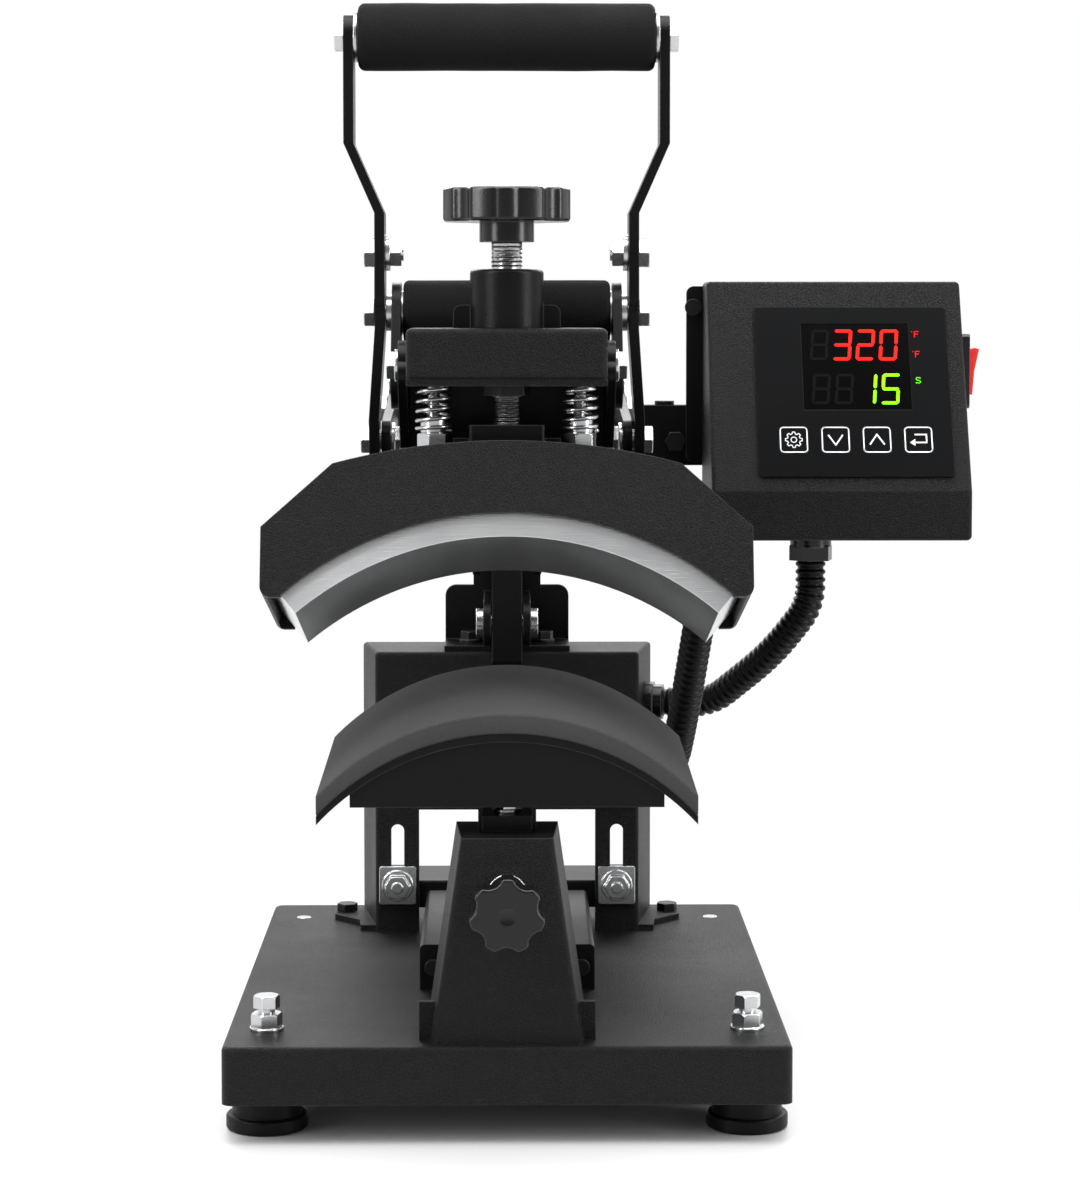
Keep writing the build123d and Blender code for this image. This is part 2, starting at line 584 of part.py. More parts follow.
def column():
    """The welded column on the bridge: foot, ears of the arm's hinge, back plate and open-fronted neck."""
    back0 = COLUMN_BACK_Y - COLUMN_T
    foot_z = TOWER_TOP + SHEET
    body = block(-COLUMN_HALF, COLUMN_HALF, TOWER_Y + 3, COLUMN_BACK_Y, TOWER_TOP, foot_z)
    wide = block(-COLUMN_HALF, COLUMN_HALF, back0, COLUMN_BACK_Y, TOWER_TOP, TOWER_TOP + SHOULDER_H)
    wide = fillet([e for e in wide.edges().filter_by(Axis.Y) if e.center().Z > TOWER_TOP + 5], 6)
    neck = block(-NECK_HALF, NECK_HALF, back0, COLUMN_BACK_Y, TOWER_TOP, NECK_TOP)
    body = body + wide + neck
    ly, lz = LINK_AXIS
    ay, az = ARM_AXIS
    ear_in = ARM_POST_W / 2 + GAP
    for side in (-1, 1):
        wall = block(side * (NECK_HALF - COLUMN_T), side * NECK_HALF, NECK_FRONT_Y, COLUMN_BACK_Y, NECK_OPEN_Z, NECK_TOP)
        body = body + fillet([e for e in wall.edges().filter_by(Axis.X) if e.center().Y < NECK_FRONT_Y + 1], 4)
        ear = strap([(ay, az), (back0, az)], 12.0, side * ear_in, side * (ear_in + EAR_T))
        foot = block(side * ear_in, side * (ear_in + EAR_T), TOWER_Y + 3, back0, TOWER_TOP, az)
        body = body + ((ear + foot) - block(-50, 50, TOWER_Y - 60, TOWER_Y + 80, TOWER_TOP - 30, TOWER_TOP + GAP)
                       - block(-50, 50, back0 + 0.01, back0 + 60, 150, 260))
        body = body - rod_z(TOWER_TOP - 1, foot_z + 1, side * 19.7, 280.0, 3 + FIT)
    body = body - rod_x(-30, 30, ay, az, PIN_R) - rod_x(-30, 30, ly, lz, LINK_SHAFT_R)
    keep("hinge_column", body)
    bolts = []
    for side in (-1, 1):
        x = side * 19.7
        head = rod_z(foot_z, foot_z + WASHER_T, x, 280.0, 6.2) + hex_z(foot_z + WASHER_T, foot_z + WASHER_T + 4.4, x, 280.0, 10)
        bolts.append(head + rod_z(TOWER_TOP - SHEET, foot_z, x, 280.0, 3))
    nodes["frame_bolts"].extend(bolts)
    out = ear_in + EAR_T
    pin = rod_x(-out - 1.5, out + 1.5, ay, az, PIN_R) + rod_x(-out - 4, -out, ay, az, 8) + rod_x(out, out + 4, ay, az, 8)
    keep("arm_hinge_pin", pin)
    shaft = rod_x(-link_in() + GAP, link_in() - GAP, ly, lz, LINK_SHAFT_R)
    ends = []
    for side in (-1, 1):
        x0 = link_in() - GAP
        x1 = link_in() + LINK_T + GAP
        inner = rod_x(side * (x0 - WASHER_T), side * x0, ly, lz, LINK_EYE_R - 3) - rod_x(-90, 90, ly, lz, LINK_SHAFT_R)
        stub = rod_x(side * x0, side * x1, ly, lz, LINK_SHAFT_R)
        cap = rod_x(side * x1, side * (x1 + WASHER_T), ly, lz, LINK_EYE_R - 3)
        head = hex_x(side * (x1 + WASHER_T), side * (x1 + WASHER_T + HEX_H), ly, lz, M8_AF)
        ends.append(stub + cap + head)
        ends.append(inner)
    keep("link_shaft", shaft, ends)


def link_in():
    """Inner face of the toggle links: they run just inside the lower ends of the handle bars."""
    return BAR_IN + BAR_LOW_OUT - LINK_T - 2 * GAP


# ---- arm ----------------------------------------------------------------------------------------
def arm():
    ay, az = ARM_AXIS
    hy, hz = HANDLE_AXIS
    half_d = ARM_POST_D / 2
    post = block(-ARM_POST_W / 2, ARM_POST_W / 2, ay - half_d, ay + half_d, az - ARM_POST_TAIL, SPINE_Z1)
    post = fillet(post.edges().filter_by(Axis.X).group_by(Axis.Z)[0], 4)
    frame = post - rod_x(-20, 20, ay, az, PIN_R + RUN)
    x0, x1 = ARM_POST_W / 2, ARM_POST_W / 2 + SPINE_T
    outline = [(CROSS_Y + SHEET, SPINE_Z0), (ay - half_d, SPINE_Z0), (ay + half_d, SPINE_Z0 - 12),
               (ay + half_d, SPINE_Z1), (CROSS_Y + SHEET, SPINE_Z1)]
    for side in (-1, 1):
        frame = frame + prism_x(outline, side * x0, side * x1)
    cross = block(-HEAD_HALF, HEAD_HALF, CROSS_Y, CROSS_Y + SHEET, SPINE_Z0 - 3.5, HEAD_Z0 + HEAD_H - 8)
    keep("arm_frame", frame + cross)
    # crosshead: a box open to the rear
    y0, y1 = HEAD_Y - HEAD_D / 2, HEAD_Y + HEAD_D / 2
    z0, z1 = HEAD_Z0, HEAD_Z0 + HEAD_H
    head = block(-HEAD_HALF, HEAD_HALF, y0, CROSS_Y, z0, z1)
    head = fillet(head.faces().sort_by(Axis.Y)[0].edges() + head.edges().filter_by(Axis.Y), 2.8)
    head = head - block(-HEAD_HALF + SHEET, HEAD_HALF - SHEET, y0 + SHEET, CROSS_Y + 5, z0 + SHEET, z1 - SHEET)
    head = head - block(-HEAD_HALF - 1, HEAD_HALF + 1, y1 - 2, CROSS_Y + 5, z1 - 8, z1 + 1)
    lip = block(-HEAD_HALF, HEAD_HALF, y0 + 1, y0 + 1 + THIN, z0 - 2.4, z0 + 1)
    head = head + lip
    head = head - rod_z(z0 - 5, z1 + 5, 0, HEAD_Y, SCREW_R + FIT)
    for side in (-1, 1):
        head = head - rod_z(z0 - 5, z0 + 5, side * STUD_X, HEAD_Y, CAR_STUD_R + FIT)
    keep("crosshead", head)
    boss = rod_z(z1, z1 + BOSS_H, 0, HEAD_Y, BOSS_R)
    boss = fillet(boss.faces().sort_by(Axis.Z)[-1].edges().filter_by(GeomType.CIRCLE), 2.2)
    for side in (-1, 1):
        clip = block(side * (BOSS_R - 0.5), side * (BOSS_R + 8), HEAD_Y - 3, HEAD_Y + 9, z1, z1 + 11)
        clip = fillet([e for e in clip.edges().filter_by(Axis.Y) if abs(e.center().X) > BOSS_R + 4 and e.center().Z > z1 + 5], 4)
        boss = boss + clip
    keep("screw_boss", boss - rod_z(z1 - 1, z1 + BOSS_H + 1, 0, HEAD_Y, SCREW_R + RUN))
    nut = rod_z(z0 - 2.6, z0, 0, HEAD_Y, NUT_FLANGE_R) + hex_z(z0 - 7.4, z0 - 2.6, 0, HEAD_Y, 20)
    keep("pressure_nut", nut - rod_z(z0 - 9, z0 + 1, 0, HEAD_Y, SCREW_R + RUN))
    # side plates, cheeks, pivot shaft and foam roll
    sides, side_bolts = [], []
    s0, s1 = HEAD_HALF, HEAD_HALF + SIDE_T
    c1 = s1 + CHEEK_T
    for side in (-1, 1):
        plate = strap([(HEAD_Y + 6, SIDE_BOLT_Z), (112.0, 350.0), (116.0, 312.0)], 12.0, side * s0, side * s1)
        plate = plate + strap([(HEAD_Y - 2, SIDE_BOLT_Z - 4), (108.0, 322.0)], 7.0, side * s0, side * s1)
        sides.append(plate - rod_x(-90, 90, HEAD_Y + 6, SIDE_BOLT_Z, 4 + FIT))
        cheek = strap([(hy, hz), (112.0, 350.0)], 15.0, side * s1, side * c1)
        sides.append(cheek - rod_x(-90, 90, hy, hz, BOLT_R))
        x_face = side * s1
        bolt = rod_x(x_face, side * (s1 + WASHER_T), HEAD_Y + 6, SIDE_BOLT_Z, 8.0)
        bolt = bolt + hex_x(side * (s1 + WASHER_T), side * (s1 + WASHER_T + HEX_H - 1), HEAD_Y + 6, SIDE_BOLT_Z, M8_AF)
        side_bolts.append(bolt + rod_x(side * (s0 - SHEET), x_face, HEAD_Y + 6, SIDE_BOLT_Z, 4))
    head_holes = [rod_x(-90, 90, HEAD_Y + 6, SIDE_BOLT_Z, 4 + FIT)]
    nodes["crosshead"] = [nodes["crosshead"][0] - head_holes[0]]
    keep("arm_side_plates", sides)
    keep("crosshead_side_bolts", side_bolts)
    tube = rod_x(-s1, s1, hy, hz, PIVOT_TUBE_R) - rod_x(-90, 90, hy, hz, BOLT_R)
    keep("pivot_tube", tube)
    roll = rod_x(-s1 + 1, s1 - 1, hy, hz, ROLL_R)
    roll = fillet(roll.edges().filter_by(GeomType.CIRCLE), 3.0)
    keep("foam_roll", roll - rod_x(-90, 90, hy, hz, PIVOT_TUBE_R + 0.3))
    bolts = []
    bar_out = BAR_IN + BAR_T
    for side in (-1, 1):
        shank = rod_x(side * (s1 - 14), side * (bar_out + GAP), hy, hz, BOLT_R)
        head_bolt = hex_x(side * (bar_out + GAP), side * (bar_out + GAP + HEX_H), hy, hz, M8_AF)
        bolts.append(shank + head_bolt)
        bolts.append(rod_x(side * c1, side * (BAR_IN - GAP), hy, hz, 9) - rod_x(-90, 90, hy, hz, BOLT_R))
    keep("handle_pivot_bolts", bolts)


# ---- carriage -----------------------------------------------------------------------------------
def heater_frame():
    """The tilted frame of the heater: its origin on the crown of the heating face, at the front."""
    return Pos(0, HEATER_FRONT[0], HEATER_FRONT[1]) * Rot(-HEATER_TILT, 0, 0)


def front_plane(y):
    """A sketch plane that faces the front, at depth y of the tilted frame."""
    return Plane(origin=(0, y, 0), x_dir=(1, 0, 0), z_dir=(0, -1, 0))


def cover_solid(inset, y0, y1):
    """The cover's whole outer block down to its skirt, for shells and cuts."""
    crown, shoulder = COVER_CROWN - inset, COVER_SHOULDER - inset
    sx, cx = SHOULDER_HALF - inset * 0.4, COVER_HALF - inset
    chamfer = COVER_CHAMFER - inset * 0.6
    low = COVER_SKIRT - (8 if inset else 0)
    top = ThreePointArc((-sx, shoulder), (0, crown), (sx, shoulder))
    lines = [top, Line((-cx, low), (cx, low))]
    for side in (-1, 1):
        lines.append(Line((side * sx, shoulder), (side * cx, chamfer)))
        lines.append(Line((side * cx, chamfer), (side * cx, low)))
    return extrude(front_plane(y1) * make_face(lines), y1 - y0)


def carriage():
    frame = heater_frame()
    sector = arc_sector(HEATER_R, HEATER_R + HEATER_T, HEATER_HALF_ANGLE, -HEATER_R)
    heater = extrude(front_plane(HEATER_D) * sector, HEATER_D)
    keep("heater_platen", frame * heater)
    y0, y1 = -COVER_T - 0.3, COVER_D - COVER_T - 0.3
    shell = cover_solid(0, y0, y1)
    corners = [e for e in shell.edges().filter_by(Axis.Y) if abs(e.center().X) > COVER_HALF - 1 and e.center().Z < 0]
    shell = fillet(corners, 5)
    hollow = cover_solid(COVER_T, y0 + COVER_T, y1 - COVER_T)
    arch = HEATER_R + COVER_LIP
    opening = extrude(front_plane(y1 + 5) * Pos(0, -HEATER_R) * Circle(arch), y1 - y0 + 10)
    arch_half = HEATER_R * sin(radians(HEATER_HALF_ANGLE)) + ARCH_SIDE_GAP
    opening = opening & block(-arch_half, arch_half, y0 - 5, y1 + 5, -60, 60)
    cover = shell - hollow - opening
    keep("heater_cover", frame * cover)
    blanket = arc_sector(HEATER_R + HEATER_T + 0.2, HEATER_R + HEATER_T + 12, HEATER_HALF_ANGLE - 4, -HEATER_R)
    pad_solid = extrude(front_plane(HEATER_D - 2) * blanket, HEATER_D - 4)
    keep("insulation_blanket", frame * (pad_solid & cover_solid(COVER_T + 0.2, y0 + COVER_T, y1 - COVER_T)))
    # level mounting wedge on the sloping cover, thrust block, studs and springs
    wz1 = STUD_NUT_Z - WASHER_T
    wedge = block(-WEDGE_HALF, WEDGE_HALF, HEAD_Y - 27, HEAD_Y + 24, wz1 - 26, wz1)
    wedge = wedge - frame * extrude(front_plane(y1 + 60) * cover_top_face(), y1 - y0 + 120)
    wedge = wedge.solids().sort_by(SortBy.VOLUME)[-1]
    bz0 = wz1
    thrust = block(-BLOCK_HALF, BLOCK_HALF, HEAD_Y - 15, HEAD_Y + 15, bz0, bz0 + BLOCK_H)
    thrust = fillet(thrust.edges().filter_by(Axis.Z), 2)
    wings = block(-STUD_X + 9.5, STUD_X - 9.5, HEAD_Y - 10, HEAD_Y + 10, bz0, bz0 + BLOCK_H - 6.4)
    thrust = thrust + wings
    thrust = thrust - rod_z(bz0 + 4, bz0 + BLOCK_H + 1, 0, HEAD_Y, SPINDLE_R + RUN)
    keep("thrust_block", thrust)
    studs, nuts, springs = [], [], []
    heater_out = frame * extrude(front_plane(COVER_D * 2) * Pos(0, -HEATER_R) * Circle(HEATER_R + HEATER_T), COVER_D * 3)
    spring_low = STUD_NUT_Z + STUD_NUT_H
    for side in (-1, 1):
        x = side * STUD_X
        stud = rod_z(HEATER_FRONT[1] - 60, HEAD_Z0 + 16.4, x, HEAD_Y, CAR_STUD_R) - heater_out
        stud = stud.solids().sort_by(Axis.Z)[-1]
        studs.append(stud)
        wedge = wedge - stud
        for inner in ("heater_cover", "insulation_blanket"):
            nodes[inner] = [nodes[inner][0] - stud]
        bore = rod_z(wz1 - 10, HEAD_Z0 + 40, x, HEAD_Y, CAR_STUD_R)
        nuts.append(rod_z(wz1, STUD_NUT_Z, x, HEAD_Y, 9) - bore)
        nuts.append(hex_z(STUD_NUT_Z, spring_low, x, HEAD_Y, STUD_NUT_AF) - bore)
        nuts.append(soft_rod(spring_low, spring_low + COLLAR_H, x, HEAD_Y, COLLAR_R, 0.8) - bore)
        lock_z = HEAD_Z0 + SHEET + PRESS_TRAVEL + 0.6
        nuts.append(hex_z(lock_z, lock_z + 5, x, HEAD_Y, 10) - bore)
        springs.append(spring(x, spring_low, HEAD_Z0))
    keep("mounting_wedge", wedge)
    keep("carriage_studs", studs)
    keep("stud_nuts", nuts)
    keep("pressure_springs", springs)
    # the pressure screw and its star knob
    low = bz0 + 4 + 0.3
    z_nut = HEAD_Z0 - 8
    screw = rod_z(low, z_nut, 0, HEAD_Y, SPINDLE_R) + rod_z(z_nut, KNOB_L_Z, 0, HEAD_Y, SCREW_R)
    keep("pressure_screw", screw)
    knob = Pos(0, HEAD_Y, KNOB_L_Z) * star_knob(KNOB_L_R, KNOB_L_T, KNOB_L_LOBES, 9.0, 2.6)
    knob = knob + rod_z(KNOB_L_Z - KNOB_L_HUB_L, KNOB_L_Z, 0, HEAD_Y, KNOB_L_HUB_R)
    knob = knob - rod_z(KNOB_L_Z - KNOB_L_HUB_L - 1, KNOB_L_Z, 0, HEAD_Y, SCREW_R)
    keep("pressure_knob", knob)


def cover_top_face():
    """The cover's outside, from its top outline far down, for seating the wedge on it."""
    sx, cx = SHOULDER_HALF, COVER_HALF
    top = ThreePointArc((-sx, COVER_SHOULDER), (0, COVER_CROWN), (sx, COVER_SHOULDER))
    lines = [top, Line((-cx, -60), (cx, -60))]
    for side in (-1, 1):
        lines.append(Line((side * sx, COVER_SHOULDER), (side * cx, COVER_CHAMFER)))
        lines.append(Line((side * cx, COVER_CHAMFER), (side * cx, -60)))
    return make_face(lines)


def biarc(p0, t0, p1, t1):
    """Two arcs, tangent to each other, from p0 along t0 to p1 along t1."""
    v, t = p1 - p0, t0 + t1
    a = 2 * (1 - t0.dot(t1))
    b = v.dot(t)
    d = (sqrt(b * b + a * v.dot(v)) - b) / a
    joint = (p0 + p1 + (t0 - t1) * d) * 0.5
    first = Edge.make_tangent_arc(p0, t0, joint)
    return [first, Edge.make_tangent_arc(joint, first % 1, p1)]


def spring(x, z0, z1):
    """A compression spring between two seats: one tube, its end turns closed up."""
    low, high = z0 + WIRE_R, z1 - WIRE_R
    close = 2 * WIRE_R + SPRING_END_GAP
    wide = (high - low - 2 * close) / (SPRING_TURNS - 2)
    count = SPRING_TURNS * 4
    pitches = [close if k in (0, 1, 2, 3, count - 4, count - 3, count - 2, count - 1) else wide for k in range(count)]
    points, tangents = [], []
    z = low
    for k in range(count + 1):
        around = radians(90 * k)
        before, after = pitches[max(k - 1, 0)], pitches[min(k, count - 1)]
        rise = (before + after) / 2 / (2 * pi)
        points.append(Vector(SPRING_R * cos(around), SPRING_R * sin(around), z))
        tangents.append(Vector(-SPRING_R * sin(around), SPRING_R * cos(around), rise).normalized())
        if k < count:
            z += pitches[k] / 4
    edges = []
    for p0, t0, p1, t1 in zip(points, tangents, points[1:], tangents[1:]):
        edges.extend(biarc(p0, t0, p1, t1))
    path = Wire(edges)
    coil = sweep(Plane(origin=points[0], z_dir=tangents[0]) * Circle(WIRE_R), path=path)
    print(f"spring: least gap between turns {close - 2 * WIRE_R:.2f} mm, volume ratio "
          f"{coil.volume / (pi * WIRE_R ** 2 * path.length):.3f}")
    return Pos(x, HEAD_Y, 0) * coil


# ---- handle and links ---------------------------------------------------------------------------
def bar_profile():
    """The bar's centre line in X and Z, for the outside face: from the link bolt up to the grip."""
    hz = HANDLE_AXIS[1]
    return [(BAR_IN + BAR_LOW_OUT, hz + LEVER[1] - 14), (BAR_IN + BAR_LOW_OUT, hz + LEVER[1] + 10),
            (BAR_IN, hz - 8), (BAR_IN, CRANK_Z0), (GRIP_BAR_IN, CRANK_Z1), (GRIP_BAR_IN, GRIP_Z + 14)]


def handle():
    hy, hz = HANDLE_AXIS
    ly, lz = hy + LEVER[0], hz + LEVER[1]
    line = bar_profile()
    outline = line + [(x + BAR_T, z) for x, z in reversed(line)]
    sheet_face = Plane.XZ.offset(-hy - 60) * make_face(Polyline(*outline, close=True))
    sheet = extrude(sheet_face, 120)
    half = BAR_W / 2
    side_view = strap([(ly, lz), (hy, hz)], half - 1, 40, 100)
    side_view = side_view + strap([(hy, hz), (hy, GRIP_Z)], half - 2, 40, 100)
    side_view = side_view + strap([(hy, hz + 8), (hy + 2, STOP_Z)], half, 40, 100)
    bar = sheet & side_view
    bar = bar - rod_x(0, 120, hy, hz, BOLT_R + RUN) - rod_x(0, 120, ly, lz, BOLT_R)
    bar = bar - rod_x(0, 120, hy, GRIP_Z, 4 + FIT) - rod_x(0, 120, hy + 2, STOP_Z, 4 + FIT)
    keep("handle_bars", both_sides(bar))
    tube = rod_x(-GRIP_BAR_IN, GRIP_BAR_IN, hy, GRIP_Z, 11) - rod_x(-100, 100, hy, GRIP_Z, 4)
    grip = fillet(rod_x(-GRIP_HALF, GRIP_HALF, hy, GRIP_Z, GRIP_R).edges().filter_by(GeomType.CIRCLE), 5)
    keep("foam_grip", grip - rod_x(-100, 100, hy, GRIP_Z, 11.3))
    stops, bolts = [], []
    for side in (-1, 1):
        collar = rod_x(side * (GRIP_HALF + 0.3), side * GRIP_BAR_IN, hy, GRIP_Z, 12.4)
        tube = tube + (collar - rod_x(-100, 100, hy, GRIP_Z, 9))
        x1 = GRIP_BAR_IN + BAR_T
        bolt = rod_x(side * (GRIP_BAR_IN - 16), side * x1, hy, GRIP_Z, 4)
        bolts.append(bolt + hex_x(side * x1, side * (x1 + HEX_H - 0.5), hy, GRIP_Z, 14))
        sy = hy + 2
        stop = rod_x(side * (BAR_IN - GAP * 5), side * BAR_IN, sy, STOP_Z, 9)
        stops.append(stop - rod_x(-100, 100, sy, STOP_Z, 4 + FIT))
        x_out = BAR_IN + BAR_T
        bolt = hex_x(side * x_out, side * (x_out + HEX_H + 0.5), sy, STOP_Z, 14)
        bolt = bolt + rod_x(side * (BAR_IN - 9), side * x_out, sy, STOP_Z, 4)
        nut = hex_x(side * (BAR_IN - GAP * 5), side * (BAR_IN - GAP * 5 - HEX_H - 0.5), sy, STOP_Z, M8_AF)
        bolts.append(bolt)
        bolts.append(nut - rod_x(-100, 100, sy, STOP_Z, 4))
        low_out = BAR_IN + BAR_LOW_OUT + BAR_T
        bolt = hex_x(side * low_out, side * (low_out + HEX_H - 0.6), ly, lz, M8_AF)
        bolts.append(bolt + rod_x(side * (link_in() - GAP - 5), side * low_out, ly, lz, BOLT_R))
        nut = rod_x(side * (link_in() - GAP - WASHER_T), side * (link_in() - GAP), ly, lz, 8.5)
        nut = nut + hex_x(side * (link_in() - GAP - WASHER_T), side * (link_in() - GAP - 4.8), ly, lz, M8_AF)
        bolts.append(nut - rod_x(-100, 100, ly, lz, BOLT_R))
    keep("grip_tube", tube)
    keep("handle_bolts", bolts, stops)
    by, bz = LINK_AXIS
    x0, x1 = link_in(), link_in() + LINK_T
    link = strap([(ly, lz), (by, bz)], LINK_W / 2, x0, x1) + rod_x(x0, x1, by, bz, LINK_EYE_R)
    link = link - rod_x(0, 100, by, bz, LINK_EYE_BORE) - rod_x(0, 100, ly, lz, BOLT_R + RUN)
    keep("toggle_links", both_sides(link))


# ---- control box --------------------------------------------------------------------------------
def face_frame():
    """The frame of the sloping face: origin on its lower edge, +Y up the slope, +Z out of the face."""
    z_low = BOX_Z0 + BOX_LIP_H
    lean = degrees(atan2(BOX_SLOPE_D, BOX_Z1 - z_low))
    return Pos(0, BOX_Y0, z_low) * Rot(90 - lean, 0, 0)


def control_box():
    z_low = BOX_Z0 + BOX_LIP_H
    outline = [(BOX_Y0, BOX_Z0), (BOX_Y0, z_low), (BOX_Y0 + BOX_SLOPE_D, BOX_Z1), (BOX_Y1, BOX_Z1), (BOX_Y1, BOX_Z0)]
    body = prism_x(outline, BOX_X0, BOX_X1)
    body = fillet(body.edges().filter_by(Axis.X) + body.faces().sort_by(Axis.X)[-1].edges()
                  + body.faces().sort_by(Axis.X)[0].edges(), 2.6)
    t = THIN
    inner = [(BOX_Y0 + t, BOX_Z0 + t), (BOX_Y0 + t, z_low - 0.4), (BOX_Y0 + BOX_SLOPE_D + t * 0.8, BOX_Z1 - t),
             (BOX_Y1 - t, BOX_Z1 - t), (BOX_Y1 - t, BOX_Z0 + t)]
    body = body - prism_x(inner, BOX_X0 + t, BOX_X1 - t)
    frame = face_frame()
    opening = frame * block(FACE_X[0] + 4, FACE_X[1] - 4, FACE_S[0] + 4, FACE_S[1] - 4, -6, 3)
    body = body - opening
    gx, gy = GLAND_XY
    body = body - rod_z(BOX_Z0 - 1, BOX_Z0 + t + 1, gx, gy, 8.2)
    body = body - block(BOX_X1 - t - 1, BOX_X1 + 1, ROCKER_Y - ROCKER_HALF[0] - 1, ROCKER_Y + ROCKER_HALF[0] + 1,
                        ROCKER_Z - ROCKER_HALF[1] - 1, ROCKER_Z + ROCKER_HALF[1] + 1)
    body = body - block(190, 218, BOX_Y1 - t - 1, BOX_Y1 + 1, 274, 294)
    keep("control_housing", body)
    plate = block(FACE_X[0], FACE_X[1], FACE_S[0], FACE_S[1], 0, 1.2)
    plate = fillet(plate.edges().filter_by(Axis.Z), 2)
    window = block(WINDOW_X[0], WINDOW_X[1], WINDOW_S[0], WINDOW_S[1], -2, 0.9)
    plate = plate - block(WINDOW_X[0] - 0.2, WINDOW_X[1] + 0.2, WINDOW_S[0] - 0.2, WINDOW_S[1] + 0.2, -3, 3)
    board = block(FACE_X[0] + 5, FACE_X[1] - 5, FACE_S[0] + 5, FACE_S[1] - 5, -4.6, -3)
    keep("circuit_board", frame * board)
    led = block(WINDOW_X[0] + 4, WINDOW_X[1] - 4, WINDOW_S[0] + 4, WINDOW_S[1] - 4, -3, -2)
    keep("display_window", frame * (window + led))
    for x, name in zip(KEY_XS, ("key_settings", "key_down", "key_up", "key_enter")):
        half = KEY_W / 2
        cap = block(x - half, x + half, KEY_S - half, KEY_S + half, -0.2, 1.5)
        cap = fillet(cap.edges().filter_by(Axis.Z), 2.2) + block(x - 2, x + 2, KEY_S - 2, KEY_S + 2, -2.5, 0)
        hole = block(x - half - 0.15, x + half + 0.15, KEY_S - half - 0.15, KEY_S + half + 0.15, -1, 2)
        plate = plate - fillet(hole.edges().filter_by(Axis.Z), 2.3)
        keep(name, frame * cap)
    keep("face_plate", frame * plate)
    # rocker switch on the right wall
    hy, hz = BEZEL_HALF
    bezel = fillet(block(BOX_X1, BOX_X1 + 5, ROCKER_Y - hy, ROCKER_Y + hy, ROCKER_Z - hz, ROCKER_Z + hz).edges().filter_by(Axis.X), 3)
    barrel = block(BOX_X1 - 16, BOX_X1, ROCKER_Y - ROCKER_HALF[0] - 0.8, ROCKER_Y + ROCKER_HALF[0] + 0.8,
                   ROCKER_Z - ROCKER_HALF[1] - 0.8, ROCKER_Z + ROCKER_HALF[1] + 0.8)
    bezel = bezel + barrel
    bezel = bezel - block(BOX_X1 - 13, BOX_X1 + 7, ROCKER_Y - ROCKER_HALF[0] - 0.3, ROCKER_Y + ROCKER_HALF[0] + 0.3,
                          ROCKER_Z - ROCKER_HALF[1] - 0.4, ROCKER_Z + ROCKER_HALF[1] + 0.4)
    pivot_x = BOX_X1 - 2
    pins = rod_y(ROCKER_Y - ROCKER_HALF[0] - 0.7, ROCKER_Y + ROCKER_HALF[0] + 0.7, pivot_x, ROCKER_Z, 1.5)
    bores = rod_y(ROCKER_Y - ROCKER_HALF[0] - 0.8, ROCKER_Y + ROCKER_HALF[0] + 0.8, pivot_x, ROCKER_Z, 1.5 + RUN)
    keep("switch_bezel", bezel - bores)
    face = [(pivot_x - 3, ROCKER_Z - 8), (BOX_X1 + 5.5, ROCKER_Z - ROCKER_HALF[1] + 1.2), (BOX_X1 + 7, ROCKER_Z - ROCKER_HALF[1] + 1.0),
            (BOX_X1 + 8.0, ROCKER_Z), (BOX_X1 + 10.5, ROCKER_Z + ROCKER_HALF[1] - 2.0),
            (BOX_X1 + 8, ROCKER_Z + ROCKER_HALF[1] - 1.4), (pivot_x - 3, ROCKER_Z + 8)]
    rocker = extrude(Plane.XZ.offset(-ROCKER_Y - ROCKER_HALF[0]) * make_face(Polyline(*face, close=True)), 2 * ROCKER_HALF[0])
    keep("rocker_switch", rocker + pins)
    # power inlet on the back wall, and its three pins
    inlet = block(190.5, 217.5, BOX_Y1 - 18, BOX_Y1, 274.5, 293.5) + block(187, 221, BOX_Y1, BOX_Y1 + 2, 272, 296)
    inlet = inlet - block(193, 215, BOX_Y1 - 15, BOX_Y1 + 3, 277, 291)
    pins = [block(x - 1, x + 1, BOX_Y1 - 15, BOX_Y1 - 1, 282, 286) for x in (197.5, 204.0, 210.5)]
    keep("power_inlet", inlet, pins)
    # bracket from the column's neck to the back of the box
    y0, y1 = BOX_Y1 + BRACKET_UP_T, BOX_Y1 + BRACKET_UP_T + BRACKET_D
    z0, top = BRACKET_Z1 - BRACKET_H, BRACKET_Z1
    reach = BOX_X0 + 3.4
    web = block(NECK_HALF, reach, y0, y0 + 8.5, z0, top) + block(NECK_HALF, reach, y0, y1, top - SHEET, top)
    up = block(BOX_X0 - 8.6, BOX_X0 + 19.4, BOX_Y1, y0, z0 + 2, BOX_Z1 - 2.3)
    up = fillet(up.edges().filter_by(Axis.Y), 4)
    link_gap = rod_x(link_in() - 2, link_in() + LINK_T + 2, LINK_AXIS[0], LINK_AXIS[1], LINK_EYE_R + 8.5)
    bracket = web + up - link_gap
    keep("control_bracket", bracket)
    pan = rod_y(BOX_Y1 - 2.6, BOX_Y1, BOX_X0 - 5, BOX_Z1 - 13.8, 4.6)
    flat = rod_z(top, top + 2.2, BOX_X0 - 20, y0 + BRACKET_D / 2, 5.4)
    bolt = hex_y(y0, y0 - 4.6, BOX_X0 - 14.5, z0 + 13.3, 10)
    nodes["frame_bolts"].extend([pan, flat, bolt])
    # glands and conduits
    gx, gy = GLAND_XY
    gland = rod_z(BOX_Z0 - 6, BOX_Z0, gx, gy, 11) + hex_z(BOX_Z0 - 13.2, BOX_Z0 - 5, gx, gy, 21) + rod_z(BOX_Z0, BOX_Z0 + 5, gx, gy, 8)
    keep("control_gland", gland - rod_z(BOX_Z0 - 20, BOX_Z0 + 8, gx, gy, CONDUIT_BORE))


